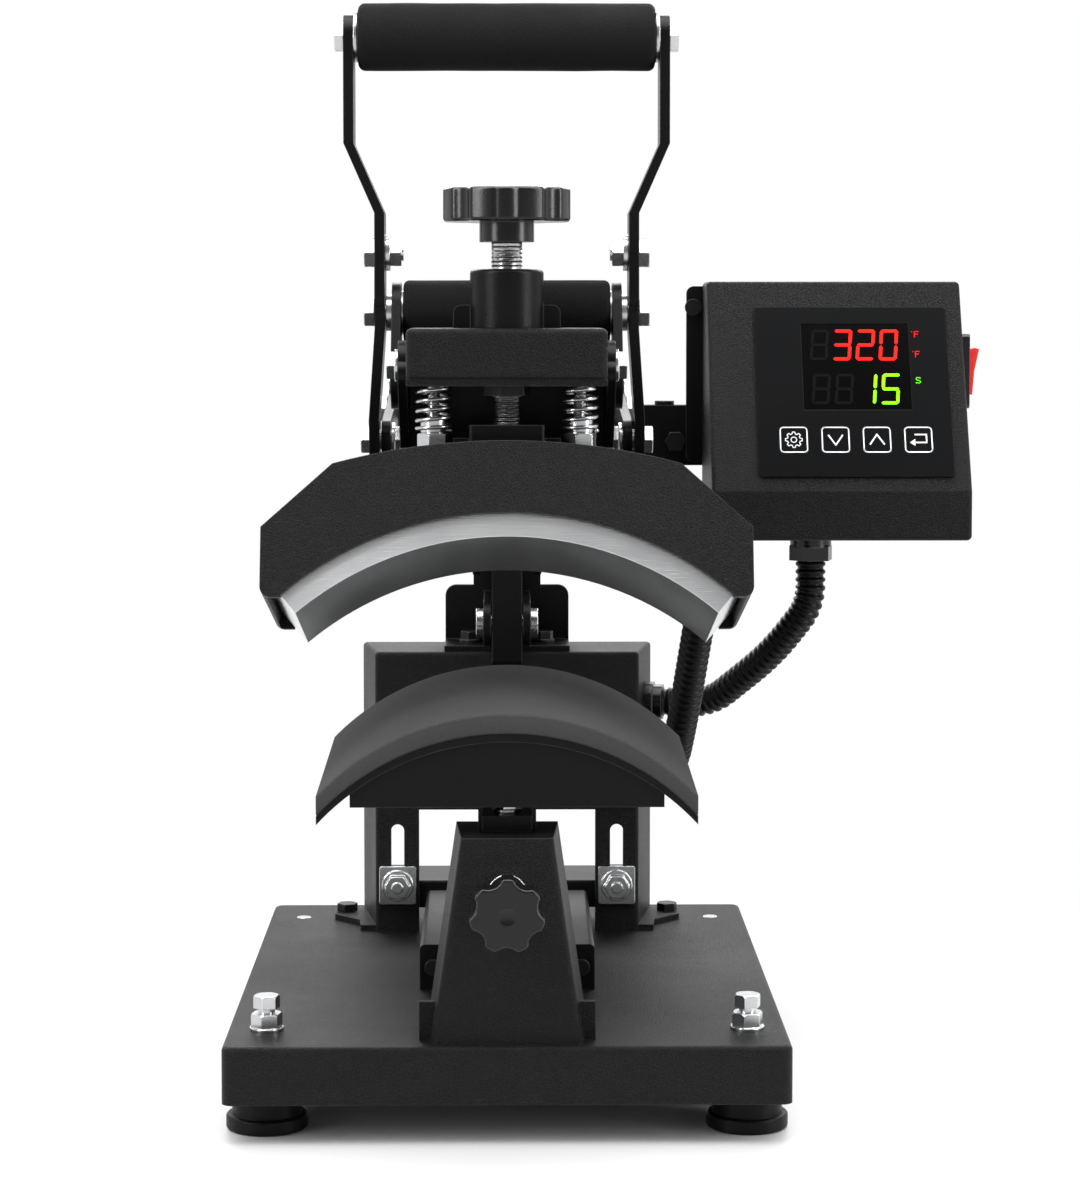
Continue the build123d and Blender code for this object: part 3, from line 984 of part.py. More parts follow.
def side_point(z):
    """The point of the tower's right wall where the box's conduit goes in, and the wall's outward direction."""
    slope = (TOWER_BACK_HALF - TOWER_FRONT_HALF) / TOWER_D
    turn = atan2(TOWER_BACK_HALF - TOWER_FRONT_HALF, TOWER_D)
    return (TOWER_FRONT_HALF + (PORT_Y - TOWER_Y) * slope, PORT_Y, z), (cos(turn), -sin(turn)), degrees(turn)


def side_hole(z):
    point, _, turn = side_point(z)
    return Pos(*point) * Rot(0, 0, -turn) * Rot(0, 90, 0) * Cylinder(CONDUIT_BORE, 20)


def gland_ring():
    """A gland on +Z: flange, collar, bore."""
    ring = Pos(0, 0, GLAND_FLANGE_T / 2) * Cylinder(11, GLAND_FLANGE_T)
    ring = ring + Pos(0, 0, GLAND_L / 2) * Cylinder(9.6, GLAND_L)
    return ring - Cylinder(CONDUIT_BORE, 60)


def hose(points, name):
    """A conduit along a route of straight runs and tangent arcs, bored through."""
    radii = []
    for a, b, c in zip(points, points[1:], points[2:]):
        va, vb, vc = Vector(*a), Vector(*b), Vector(*c)
        turn = radians((vb - va).get_angle(vc - vb))
        run = min((vb - va).length, (vc - vb).length)
        radii.append(0.45 * run / (sin(turn / 2) / cos(turn / 2)))
    route = FilletPolyline(*points, radius=radii)
    start = Plane(origin=route @ 0, z_dir=route % 0)
    skin = sweep(start * Circle(CONDUIT_R), path=route)
    bore = sweep(start * Circle(CONDUIT_BORE), path=route)
    print(f"{name}: radii {[round(r) for r in radii]}, length {route.length:.0f}, "
          f"volume ratio {skin.volume / (pi * CONDUIT_R ** 2 * route.length):.3f}")
    return skin - bore


def conduits():
    frame = heater_frame()
    gx, gy = GLAND_XY
    point, out, turn = side_point(PORT_A_Z)
    port_a = Pos(*point) * Rot(0, 0, -turn) * Rot(0, 90, 0) * gland_ring()
    port_b = Pos(PORT_B[0], TOWER_Y, PORT_B[1]) * Rot(90, 0, 0) * gland_ring()
    keep("tower_glands", port_a, port_b)
    z0 = BOX_Z0 - 13.2
    mouth, far = [(point[0] + d * out[0], point[1] + d * out[1], point[2]) for d in (GLAND_L, GLAND_L + 26)]
    route_a = [(gx, gy, z0), (gx, gy, z0 - 24), (gx - 19, gy + 16, z0 - 52), far, mouth]
    keep("conduit_control", hose(route_a, "conduit_control"))
    # heater lead: out of a gland on the rear wall of the cover, down behind the platen, into the tower
    gland_at = frame * Pos(97.0, COVER_D - COVER_T - 0.3, -17.0)
    ring = Pos(0, 0, 3) * Cylinder(10.4, 6) - Cylinder(CONDUIT_BORE, 40)
    keep("heater_gland", gland_at * Rot(-90, 0, 0) * ring)
    start = (gland_at * Pos(0, 6, 0)).position
    ahead = (gland_at * Pos(0, 26, 0)).position
    bx, bz = PORT_B
    mouth_y = TOWER_Y - GLAND_L
    route_b = [(start.X, start.Y, start.Z), (ahead.X, ahead.Y, ahead.Z), (90.0, 172.0, 172.0), (86.0, 198.0, 142.0),
               (bx, mouth_y - 22, bz), (bx, mouth_y, bz)]
    keep("conduit_heater", hose(route_b, "conduit_heater"))


for build in (base, pedestal, lower_platen, tower, column, arm, carriage, handle, control_box, conduits):
    build()

flat = {name: [solid for item in solids for solid in item.solids()] for name, solids in nodes.items()}
boxes = [solid.bounding_box() for solids in flat.values() for solid in solids]
low = [min(tuple(box.min)[i] for box in boxes) for i in range(3)]
high = [max(tuple(box.max)[i] for box in boxes) for i in range(3)]
shift = Pos(-(low[0] + high[0]) / 2, -(low[1] + high[1]) / 2, -low[2])
print("shift", [round(v, 4) for v in tuple(shift.position)], "size", [round(b - a, 2) for a, b in zip(low, high)])
for name, solids in flat.items():
    placed = [shift * solid for solid in solids]
    export_step(placed[0] if len(placed) == 1 else Compound(children=placed), f"parts/{name}.step")
print(len(flat), "nodes")
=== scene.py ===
"""Looks of the cap heat press: finishes, soft pieces, display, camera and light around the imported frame."""

import json
import logging
import math
from dataclasses import dataclass
from enum import Enum
from typing import Callable, Iterable, Sequence

import bmesh
import bpy
from mathutils import Matrix, Vector, noise

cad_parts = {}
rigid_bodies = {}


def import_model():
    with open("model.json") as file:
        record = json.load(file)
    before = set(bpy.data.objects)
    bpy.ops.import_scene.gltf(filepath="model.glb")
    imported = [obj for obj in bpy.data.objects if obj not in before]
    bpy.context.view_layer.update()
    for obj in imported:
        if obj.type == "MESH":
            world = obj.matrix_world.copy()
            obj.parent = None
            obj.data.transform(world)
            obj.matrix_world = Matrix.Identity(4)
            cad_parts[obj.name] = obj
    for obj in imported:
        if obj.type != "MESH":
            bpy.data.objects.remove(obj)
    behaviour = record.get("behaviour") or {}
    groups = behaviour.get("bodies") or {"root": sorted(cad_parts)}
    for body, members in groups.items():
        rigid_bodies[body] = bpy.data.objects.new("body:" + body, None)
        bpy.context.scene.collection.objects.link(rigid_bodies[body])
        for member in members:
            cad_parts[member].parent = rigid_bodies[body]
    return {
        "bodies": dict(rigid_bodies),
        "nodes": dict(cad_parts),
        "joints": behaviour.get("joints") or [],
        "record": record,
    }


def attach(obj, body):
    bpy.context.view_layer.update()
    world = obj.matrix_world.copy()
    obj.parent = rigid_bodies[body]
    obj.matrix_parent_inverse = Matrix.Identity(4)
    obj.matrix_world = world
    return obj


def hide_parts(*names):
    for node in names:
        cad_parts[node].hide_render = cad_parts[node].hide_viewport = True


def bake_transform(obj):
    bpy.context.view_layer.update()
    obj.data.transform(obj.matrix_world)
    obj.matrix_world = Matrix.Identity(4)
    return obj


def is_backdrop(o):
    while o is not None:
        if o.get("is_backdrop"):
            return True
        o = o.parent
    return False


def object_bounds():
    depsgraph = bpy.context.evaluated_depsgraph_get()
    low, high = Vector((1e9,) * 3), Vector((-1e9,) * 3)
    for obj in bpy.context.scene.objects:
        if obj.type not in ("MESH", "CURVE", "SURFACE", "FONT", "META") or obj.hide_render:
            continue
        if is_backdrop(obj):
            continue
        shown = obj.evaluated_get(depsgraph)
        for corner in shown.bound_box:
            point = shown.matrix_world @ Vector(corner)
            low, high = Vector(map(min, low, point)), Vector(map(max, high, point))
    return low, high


LOG = logging.getLogger("cap_heat_press")

# All sizes and places below are in millimetres of the drawing, unless they say otherwise.
MM = 0.001
SHIFT = Vector((-60.3, -155.0, 0.0))  # from the middle of the base's front edge to the row frame

HANDLE_AXIS_Y = 128.0
GRIP_Z = 517.5
ROLL_Z = 382.0
SLEEVE_BORE = 11.3
SLEEVE_RIM_STEPS = 8
SLEEVE_STEPS = 24
SKIN_WAVE = 0.18
SKIN_SINK = 0.10
SKIN_SCALE = 60.0  # noise cells in a metre

PAD_PLACE = (0.0, 5.0, 199.1)  # crown of the pad at its front edge
PAD_TILT = 4.5  # degrees, rear edge higher
PAD_CROWN_R = 119.0
PAD_HALF_FRONT = 88.0
PAD_HALF_BACK = 85.5
PAD_THICK = 9.4
PAD_DEPTH = 115.0
PAD_EDGE = 1.1

STUD_X = 35.0
SCREW_Y = 75.0
SPRING_SEATS = (324.8, 350.2)
SPRING_R = 8.0
SPRING_WIRE_R = 1.0
SPRING_TURNS = 6
SPRING_CLOSE_PITCH = 2.5
SPRING_STEPS = 32  # points in each turn
SPRING_SIDES = 12

CONDUIT_ROOT_R = 6.9
CONDUIT_RIB_H = 1.1
CONDUIT_PITCH = 4.2
CONDUIT_STEPS = 10  # points in each rib
CONDUIT_SIDES = 36
RIB_STEEP = 1.7  # how much steeper than a sine the ribs rise
RIB_SINK = 0.35  # how wide the valleys between them are
ARC_SHARE = 0.45  # of the shorter run beside a corner of a route
ARC_STEPS = 24
CONTROL_ROUTE = ((162.0, 236.0, 250.0), (162.0, 236.0, 226.0), (143.0, 252.0, 198.0))  # from the box
HEATER_ROUTE = ((90.0, 172.0, 172.0), (86.0, 198.0, 142.0), (56.0, 225.0, 126.0), (56.0, 247.0, 126.0))
TOWER_D = 51.0
TOWER_FRONT_HALF = 71.2
TOWER_BACK_HALF = 80.0
TOWER_GLAND_DEPTH = 27.0  # behind the tower's front
TOWER_GLAND_PLACE = (284.0, 167.7)  # Y, Z
GLAND_REACH = 10.0  # end of the conduit, out from the tower's side
CORNER_REACH = 36.0  # last corner of its route, out from the tower's side
HEATER_CROWN = (0.0, 25.0, 279.1)
HEATER_TILT = 15.0  # degrees, front edge higher
HEATER_GLAND = (97.0, 100.7, -17.0)  # tip of the gland, in the heater's tilted frame
HEATER_CORNER = (97.0, 120.7, -17.0)  # first corner of the route behind it, in the same frame

FACE_FOOT = (0.0, 196.0, 289.0)  # lower edge of the control box's slope
FACE_TOP_Z = 398.3
FACE_LEAN = 52.0
PRINT_T = 0.08
UNLIT_LIFT = 1.0  # of the prints over the face, as the next three
LIT_LIFT = 1.02
MARK_LIFT = 1.4
KEY_LIFT = 1.52
DIGIT_LEFT = 160.0
DIGIT_PITCH = 12.2
DIGIT_W = 9.6
DIGIT_LINE = 0.17  # share of the width
DIGIT_SLANT = 0.09
DIGIT_GAP = 0.35
MARK_S = (89.3, 77.7)
TIME_MARK_S = 62.6
MARK_LINE = 0.45
KEY_X = (150.0, 171.9, 193.6, 215.3)
KEY_S = 28.6
KEY_SIGN_LINE = 0.75
KEY_OUTLINE = 0.62
KEY_HALF = 7.0
KEY_CORNER = 1.8
GEAR_LINE = 0.5

CAMERA_LENS = 91.7
CAMERA_SHIFT = -0.10  # of the frame's longer side
CAMERA_PLACE = (0.0, -1364.0, 387.0)
CAMERA_WAY = (0.011, 1.0, -0.0565)  # the direction that it looks in
FLOOR_HALF = 12.0  # metres
FLOOR_Z = -0.0002  # metres, just under the feet
FLOOR_FADE = (0.20, 0.50)  # metres from the middle, from shaded to plain white
WORLD_LIGHT = 0.42
WHITE = (1.0, 1.0, 1.0, 1.0)

Outline = Sequence[tuple[float, float]]


def row(x: float, y: float, z: float) -> Vector:
    """A point of the drawing, in millimetres from the base's front edge, as metres in the row frame."""
    return (Vector((x, y, z)) + SHIFT) * MM


class Coat(Enum):
    """Relief of a finish."""

    NONE = "none"
    CRACKLE = "crackle"
    FINE = "fine"
    FOAM = "foam"
    BRUSHED = "brushed"
    THREAD = "thread"
    FIBRE = "fibre"


@dataclass(frozen=True)
class Finish:
    """What one material looks like.

    Args:
        colour: linear base colour.
        metallic: 0 for paint and plastic, 1 for bare metal.
        roughness: of the surface between its relief.
        coat: the relief.
        relief: height of the relief in metres.
        edge: how much the edges catch light, through a painted highlight in the colour and lower roughness,
            from 0 to 1.
        clearcoat: weight of a clear coat.
        specular: Principled specular level, where 0.5 is common plastic.
    """

    colour: tuple[float, float, float]
    metallic: float = 0.0
    roughness: float = 0.5
    coat: Coat = Coat.NONE
    relief: float = 0.0
    edge: float = 0.0
    clearcoat: float = 0.0
    specular: float = 0.5


FINISHES: dict[str, Finish] = {
    "black_crackle": Finish((0.0042, 0.0042, 0.0045), 0.0, 0.40, Coat.CRACKLE, 0.0009, 0.40, 0.0, 0.15),
    "black_satin": Finish((0.0032, 0.0032, 0.0036), 0.0, 0.32, Coat.FINE, 0.00014, 0.45, 0.0, 0.13),
    "zinc": Finish((0.62, 0.63, 0.64), 1.0, 0.24, Coat.FINE, 0.00003, 0.3),
    "steel": Finish((0.55, 0.55, 0.56), 1.0, 0.26, Coat.FINE, 0.00003, 0.3),
    "screw_steel": Finish((0.56, 0.56, 0.57), 1.0, 0.25, Coat.THREAD, 0.0006, 0.0),
    "black_oxide": Finish((0.006, 0.006, 0.006), 0.0, 0.34, Coat.FINE, 0.00005, 0.4, 0.0, 0.25),
    "aluminium": Finish((0.90, 0.91, 0.92), 1.0, 0.32, Coat.BRUSHED, 0.00020, 0.25),
    "foam": Finish((0.0065, 0.0065, 0.007), 0.0, 0.85, Coat.FOAM, 0.0004, 0.0, 0.0, 0.1),
    "pad_rubber": Finish((0.040, 0.040, 0.041), 0.0, 0.92, Coat.FOAM, 0.0004, 0.0, 0.0, 0.15),
    "rubber": Finish((0.004, 0.004, 0.004), 0.0, 0.42, Coat.FINE, 0.0001, 0.3, 0.0, 0.12),
    "black_plastic": Finish((0.003, 0.003, 0.0033), 0.0, 0.24, Coat.FINE, 0.00004, 0.4, 0.0, 0.4),
    "face_film": Finish((0.0036, 0.0038, 0.0042), 0.0, 0.34, Coat.NONE, 0.0, 0.2, 0.0, 0.04),
    "red_plastic": Finish((0.62, 0.018, 0.012), 0.0, 0.22, Coat.NONE, 0.0, 0.3, 0.4),
    "screen": Finish((0.0016, 0.0016, 0.0018), 0.0, 0.2, Coat.NONE, 0.0, 0.0, 0.0, 0.03),
    "board": Finish((0.02, 0.12, 0.04), 0.0, 0.4),
    "fibre": Finish((0.62, 0.58, 0.48), 0.0, 0.95, Coat.FIBRE, 0.0012),
    "conduit": Finish((0.004, 0.004, 0.0044), 0.0, 0.36, Coat.FINE, 0.00005, 0.0, 0.0, 0.15),
    "print_white": Finish((0.80, 0.81, 0.82), 0.0, 0.5),
}

NODE_FINISHES: dict[str, str] = {
    "base_tray": "black_crackle", "levelling_feet": "rubber", "foot_studs": "zinc",
    "pedestal": "black_crackle", "tower": "black_crackle", "frame_bolts": "black_oxide",
    "crossbar": "black_satin", "slot_bolts": "zinc", "wiring_channel": "black_satin",
    "hinge_column": "black_satin", "arm_hinge_pin": "steel", "link_shaft": "steel",
    "control_housing": "black_crackle", "face_plate": "face_film", "circuit_board": "board",
    "display_window": "screen", "switch_bezel": "black_plastic", "power_inlet": "black_plastic",
    "control_bracket": "black_satin", "control_gland": "black_plastic", "tower_glands": "black_plastic",
    "lower_platen_plate": "black_satin", "saddle_bracket": "black_satin", "saddle_bolt": "zinc",
    "platen_post": "steel", "clamp_washer": "zinc", "clamp_knob": "black_plastic",
    "arm_frame": "black_satin", "arm_side_plates": "black_satin", "crosshead": "black_crackle",
    "crosshead_side_bolts": "zinc", "screw_boss": "black_satin", "pressure_nut": "black_oxide",
    "pivot_tube": "steel", "handle_pivot_bolts": "zinc", "heater_platen": "aluminium",
    "heater_cover": "black_crackle", "insulation_blanket": "fibre", "mounting_wedge": "black_satin",
    "thrust_block": "black_satin", "carriage_studs": "screw_steel", "stud_nuts": "zinc",
    "heater_gland": "black_plastic", "pressure_screw": "screw_steel", "pressure_knob": "black_plastic",
    "handle_bars": "black_satin", "grip_tube": "steel", "handle_bolts": "zinc",
    "toggle_links": "black_satin", "key_settings": "face_film", "key_down": "face_film",
    "key_up": "face_film", "key_enter": "face_film", "rocker_switch": "red_plastic",
}


@dataclass(frozen=True)
class Sleeve:
    """A foam sleeve on an X axis.

    Args:
        name: the piece's name.
        node: the CAD node that it stands for.
        body: the body that it moves with.
        height: Z of its axis.
        half: half its length.
        radius: its outer radius.
        rim: radius of its rounded rims.
    """

    name: str
    node: str
    body: str
    height: float
    half: float
    radius: float
    rim: float


SLEEVES = (Sleeve("grip_foam", "foam_grip", "handle", GRIP_Z, 73.0, 16.6, 3.5),
           Sleeve("roll_foam", "foam_roll", "arm", ROLL_Z, 51.0, 16.2, 3.0))


@dataclass(frozen=True)
class Reading:
    """A row of the display.

    Args:
        name: the name of its lit piece.
        text: one character for each digit's place.
        foot: height of its lower edge up the face's slope.
        height: height of its digits.
    """

    name: str
    text: str
    foot: float
    height: float


READINGS = (Reading("reading_top", " 320", 74.4, 17.8), Reading("reading_low", "  15", 49.0, 17.6))


@dataclass(frozen=True)
class Softbox:
    """A rectangular lamp.

    Args:
        name: the lamp's name.
        place: its middle, in metres of the row frame.
        size: its width and height in metres.
        power: in watts.
    """

    name: str
    place: tuple[float, float, float]
    size: tuple[float, float]
    power: float


SOFTBOXES = (Softbox("key_left", (-1.3, -1.0, 1.1), (0.5, 1.6), 27.0),
             Softbox("key_right", (1.4, -0.7, 0.9), (0.5, 1.6), 23.0),
             Softbox("overhead", (0.0, -0.2, 1.9), (2.2, 1.6), 62.0),
             Softbox("rear_rim", (0.0, 1.5, 1.2), (2.2, 0.6), 26.0))
LAMP_AIM = (0.0, 0.0, 0.25)


class NodeGraph:
    """A small helper that adds and links shader nodes."""

    def __init__(self, tree: bpy.types.NodeTree) -> None:
        self.tree = tree

    def add(self, kind: str, inputs: dict[str | int, object] | None = None,
            **props: object) -> bpy.types.Node:
        """Adds a node, sets its properties and sets or links its inputs.

        Args:
            kind: the node's type name.
            inputs: values or output sockets by input name or number.
            props: attributes of the node.

        Returns:
            The new node.
        """
        node = self.tree.nodes.new(kind)
        for name, value in props.items():
            setattr(node, name, value)
        for key, value in (inputs or {}).items():
            if isinstance(value, bpy.types.NodeSocket):
                self.tree.links.new(value, node.inputs[key])
            else:
                node.inputs[key].default_value = value
        return node

    def math(self, operation: str, *values: object) -> bpy.types.NodeSocket:
        """Adds a Math node over numbers or sockets and returns its output."""
        return self.add("ShaderNodeMath", dict(enumerate(values)), operation=operation).outputs[0]

    def noise(self, at: bpy.types.NodeSocket, scale: float, detail: float,
              **inputs: float) -> bpy.types.NodeSocket:
        """Adds a Noise texture and returns its factor."""
        values = {"Vector": at, "Scale": scale, "Detail": detail, **inputs}
        return self.add("ShaderNodeTexNoise", values).outputs[0]

    def object_place(self) -> bpy.types.NodeSocket:
        """Adds object coordinates."""
        return self.add("ShaderNodeTexCoord").outputs["Object"]


class GroupLibrary:
    """Builds each shared node group once."""

    def __init__(self) -> None:
        self.made: dict[str, bpy.types.NodeTree] = {}
        self.builders: dict[str, Callable[[], bpy.types.NodeTree]] = {
            "edge_light": self.build_edge_light, Coat.CRACKLE.value: self.build_crackle,
            Coat.FINE.value: self.build_fine, Coat.FOAM.value: self.build_foam,
            Coat.BRUSHED.value: self.build_brushed, Coat.THREAD.value: self.build_thread,
            Coat.FIBRE.value: self.build_fibre}

    def start(self, name: str, ins: dict[str, float],
              outs: dict[str, str]) -> tuple[NodeGraph, bpy.types.Node, bpy.types.Node]:
        """Starts a group.

        Args:
            name: the group's name.
            ins: default value of each number that goes in.
            outs: socket type of each output.

        Returns:
            Its graph, input node and output node.
        """
        tree = bpy.data.node_groups.new(name, "ShaderNodeTree")
        for label, value in ins.items():
            socket = tree.interface.new_socket(label, in_out="INPUT", socket_type="NodeSocketFloat")
            socket.default_value = value
        for label, kind in outs.items():
            tree.interface.new_socket(label, in_out="OUTPUT", socket_type=kind)
        graph = NodeGraph(tree)
        return graph, graph.add("NodeGroupInput"), graph.add("NodeGroupOutput")

    def get(self, name: str) -> bpy.types.NodeTree:
        """The named group, built on its first use."""
        if name not in self.made:
            self.made[name] = self.builders[name]()
        return self.made[name]

    def build_edge_light(self) -> bpy.types.NodeTree:
        """How far a point lies on a rounded edge, as a patchy mask for a painted edge highlight, and the
        rounded normal.
        """
        g, head, tail = self.start("edge_light", {"Radius": 0.0006},
                                   {"Mask": "NodeSocketFloat", "Normal": "NodeSocketVector"})
        bevel = g.add("ShaderNodeBevel", {"Radius": head.outputs["Radius"]}, samples=6)
        flat = g.add("ShaderNodeNewGeometry").outputs["Normal"]
        dot = g.add("ShaderNodeVectorMath", {0: bevel.outputs[0], 1: flat}, operation="DOT_PRODUCT")
        mask = g.add("ShaderNodeMapRange", {"Value": dot.outputs["Value"], "From Min": 0.995,
                                            "From Max": 0.90, "To Min": 0.0, "To Max": 1.0})
        patchy = g.noise(g.object_place(), 60.0, 3.0)
        soft = g.add("ShaderNodeMapRange", {"Value": patchy, "From Min": 0.35, "From Max": 0.65,
                                            "To Min": 0.45, "To Max": 1.0})
        # patchy painted highlight along the rounded edges
        painted_edge_highlight = g.math("MULTIPLY", mask.outputs[0], soft.outputs[0])
        g.tree.links.new(painted_edge_highlight, tail.inputs["Mask"])
        g.tree.links.new(bevel.outputs[0], tail.inputs["Normal"])
        return g.tree

    def relief(self, coat: Coat, shape: Callable[[NodeGraph, bpy.types.NodeSocket],
                                                 bpy.types.NodeSocket]) -> bpy.types.NodeTree:
        """A group that turns object coordinates into a height from 0 to 1."""
        g, _, tail = self.start(coat.value, {}, {"Height": "NodeSocketFloat"})
        g.tree.links.new(shape(g, g.object_place()), tail.inputs["Height"])
        return g.tree

    def build_crackle(self) -> bpy.types.NodeTree:
        """Powder coat with fine wandering creases."""
        def shape(g: NodeGraph, at: bpy.types.NodeSocket) -> bpy.types.NodeSocket:
            warp = g.add("ShaderNodeTexNoise", {"Vector": at, "Scale": 600.0, "Detail": 2.0})
            moved = g.add("ShaderNodeVectorMath", {0: warp.outputs["Color"], 1: (0.0016, 0.0016, 0.0016)},
                          operation="MULTIPLY")
            joined = g.add("ShaderNodeVectorMath", {0: at, 1: moved.outputs[0]}, operation="ADD")
            cells = g.add("ShaderNodeTexVoronoi", {"Vector": joined.outputs[0], "Scale": 760.0},
                          feature="DISTANCE_TO_EDGE")
            crease = g.add("ShaderNodeMapRange", {"Value": cells.outputs["Distance"], "From Max": 0.12})
            grain = g.noise(at, 1500.0, 3.0)
            return g.math("MULTIPLY_ADD", grain, 0.5, g.math("MULTIPLY", crease.outputs[0], 0.35))
        return self.relief(Coat.CRACKLE, shape)

    def build_fine(self) -> bpy.types.NodeTree:
        """Fine orange peel."""
        def shape(g: NodeGraph, at: bpy.types.NodeSocket) -> bpy.types.NodeSocket:
            return g.noise(at, 1100.0, 3.0)
        return self.relief(Coat.FINE, shape)

    def build_foam(self) -> bpy.types.NodeTree:
        """Closed-cell foam: dense small pits."""
        def shape(g: NodeGraph, at: bpy.types.NodeSocket) -> bpy.types.NodeSocket:
            pits = g.add("ShaderNodeTexVoronoi", {"Vector": at, "Scale": 1300.0})
            grain = g.noise(at, 700.0, 5.0, Roughness=0.7)
            return g.math("MULTIPLY_ADD", pits.outputs["Distance"], 0.5, grain)
        return self.relief(Coat.FOAM, shape)

    def build_brushed(self) -> bpy.types.NodeTree:
        """Machining lines that follow the length of the heater."""
        def shape(g: NodeGraph, at: bpy.types.NodeSocket) -> bpy.types.NodeSocket:
            long = g.add("ShaderNodeVectorMath", {0: at, 1: (40.0, 1500.0, 1500.0)}, operation="MULTIPLY")
            return g.noise(long.outputs[0], 1.0, 4.0)
        return self.relief(Coat.BRUSHED, shape)

    def build_thread(self) -> bpy.types.NodeTree:
        """Screw thread as rings, two millimetres apart."""
        def shape(g: NodeGraph, at: bpy.types.NodeSocket) -> bpy.types.NodeSocket:
            z = g.add("ShaderNodeSeparateXYZ", {0: at}).outputs["Z"]
            return g.math("PINGPONG", g.math("MULTIPLY", z, 1000.0), 1.0)
        return self.relief(Coat.THREAD, shape)

    def build_fibre(self) -> bpy.types.NodeTree:
        """Loose glass wool."""
        def shape(g: NodeGraph, at: bpy.types.NodeSocket) -> bpy.types.NodeSocket:
            return g.noise(at, 320.0, 8.0, Roughness=0.8, Distortion=1.5)
        return self.relief(Coat.FIBRE, shape)


class MaterialShop:
    """Makes and keeps the object's materials."""

    def __init__(self) -> None:
        self.groups = GroupLibrary()
        self.made: dict[str, bpy.types.Material] = {}

    def get(self, name: str) -> bpy.types.Material:
        """The material of a finish, made on its first use."""
        if name not in self.made:
            self.made[name] = self.build(name, FINISHES[name])
        return self.made[name]

    def build(self, name: str, finish: Finish) -> bpy.types.Material:
        """Builds a surface with its relief, edges that catch light through a painted highlight and lower
        roughness, and smudges.
        """
        material = bpy.data.materials.new(name)
        material.use_nodes = True
        material.node_tree.nodes.clear()
        g = NodeGraph(material.node_tree)
        shader = g.add("ShaderNodeBsdfPrincipled", {"Metallic": finish.metallic,
                                                    "Coat Weight": finish.clearcoat,
                                                    "Specular IOR Level": finish.specular})
        g.add("ShaderNodeOutputMaterial", {"Surface": shader.outputs[0]})
        smudge = g.noise(g.object_place(), 14.0, 4.0)
        rough = g.add("ShaderNodeMapRange", {"Value": smudge, "From Min": 0.3, "From Max": 0.7,
                                             "To Min": finish.roughness * 0.88,
                                             "To Max": finish.roughness * 1.14})
        colour = (*finish.colour, 1.0)
        normal = None
        if finish.edge > 0:
            edges = g.add("ShaderNodeGroup", node_tree=self.groups.get("edge_light"))
            edges.inputs["Radius"].default_value = 0.0007
            normal = edges.outputs["Normal"]
            # painted highlight: the rounded edges are painted lighter than the base colour
            edge_highlight_colour = tuple(min(1.0, c * 1.5 + 0.17 * finish.edge) for c in finish.colour) + (1.0,)
            share = g.math("MULTIPLY", edges.outputs["Mask"], 0.6)
            mix = g.add("ShaderNodeMix", {0: share, 6: colour, 7: edge_highlight_colour}, data_type="RGBA")
            g.tree.links.new(mix.outputs[2], shader.inputs["Base Color"])
            less = g.math("MULTIPLY_ADD", edges.outputs["Mask"], -0.12 * finish.edge, rough.outputs[0])
            g.tree.links.new(less, shader.inputs["Roughness"])
        else:
            shader.inputs["Base Color"].default_value = colour
            g.tree.links.new(rough.outputs[0], shader.inputs["Roughness"])
        if finish.coat is not Coat.NONE:
            height = g.add("ShaderNodeGroup", node_tree=self.groups.get(finish.coat.value))
            bump = g.add("ShaderNodeBump", {"Height": height.outputs[0], "Distance": finish.relief,
                                            "Strength": 0.8})
            if normal is not None:
                g.tree.links.new(normal, bump.inputs["Normal"])
            normal = bump.outputs[0]
        if normal is not None:
            g.tree.links.new(normal, shader.inputs["Normal"])
        return material

    def glow(self, name: str, colour: tuple[float, float, float], strength: float) -> bpy.types.Material:
        """A lit segment of the display."""
        if name not in self.made:
            material = bpy.data.materials.new(name)
            material.use_nodes = True
            shader = next(n for n in material.node_tree.nodes if n.type == "BSDF_PRINCIPLED")
            shader.inputs["Base Color"].default_value = (*colour, 1.0)
            shader.inputs["Emission Color"].default_value = (*colour, 1.0)
            shader.inputs["Emission Strength"].default_value = strength
            shader.inputs["Roughness"].default_value = 0.4
            shader.inputs["Specular IOR Level"].default_value = 0.02
            self.made[name] = material
        return self.made[name]


@dataclass
class Builder:
    """Turns bmeshes into pieces of the object."""

    shop: MaterialShop

    def piece(self, name: str, mesh: bmesh.types.BMesh, material: bpy.types.Material, body: str,
              slot: str | None = None, smooth: bool = True, place: Matrix | None = None) -> bpy.types.Object:
        """Finishes a mesh as a piece that rides on a body.

        Args:
            name: the piece's name.
            mesh: its geometry, which is freed.
            material: its finish.
            body: the CAD body that it moves with; empty if it is attached otherwise.
            slot: not used.
            smooth: whether its faces are smooth-shaded.
            place: a transform to apply to the vertices.

        Returns:
            The new object, at the origin.
        """
        if place is not None:
            bmesh.ops.transform(mesh, matrix=place, verts=mesh.verts)
        bmesh.ops.recalc_face_normals(mesh, faces=mesh.faces)
        for face in mesh.faces:
            face.smooth = smooth
        data = bpy.data.meshes.new(name)
        mesh.to_mesh(data)
        mesh.free()
        data.materials.append(material)
        obj = bpy.data.objects.new(name, data)
        bpy.context.scene.collection.objects.link(obj)
        if body:
            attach(obj, body)
        return obj


def revolve_x(profile: Outline, centre: Vector, sides: int = 96) -> bmesh.types.BMesh:
    """A closed body of revolution round an X axis through centre; profile is (x, radius) in metres."""
    mesh = bmesh.new()
    rings = []
    for x, r in profile:
        ring = []
        for i in range(sides):
            a = 2 * math.pi * i / sides
            ring.append(mesh.verts.new(centre + Vector((x, r * math.cos(a), r * math.sin(a)))))
        rings.append(ring)
    for first, second in zip(rings, rings[1:] + rings[:1]):
        for i in range(sides):
            j = (i + 1) % sides
            mesh.faces.new((first[i], first[j], second[j], second[i]))
    return mesh


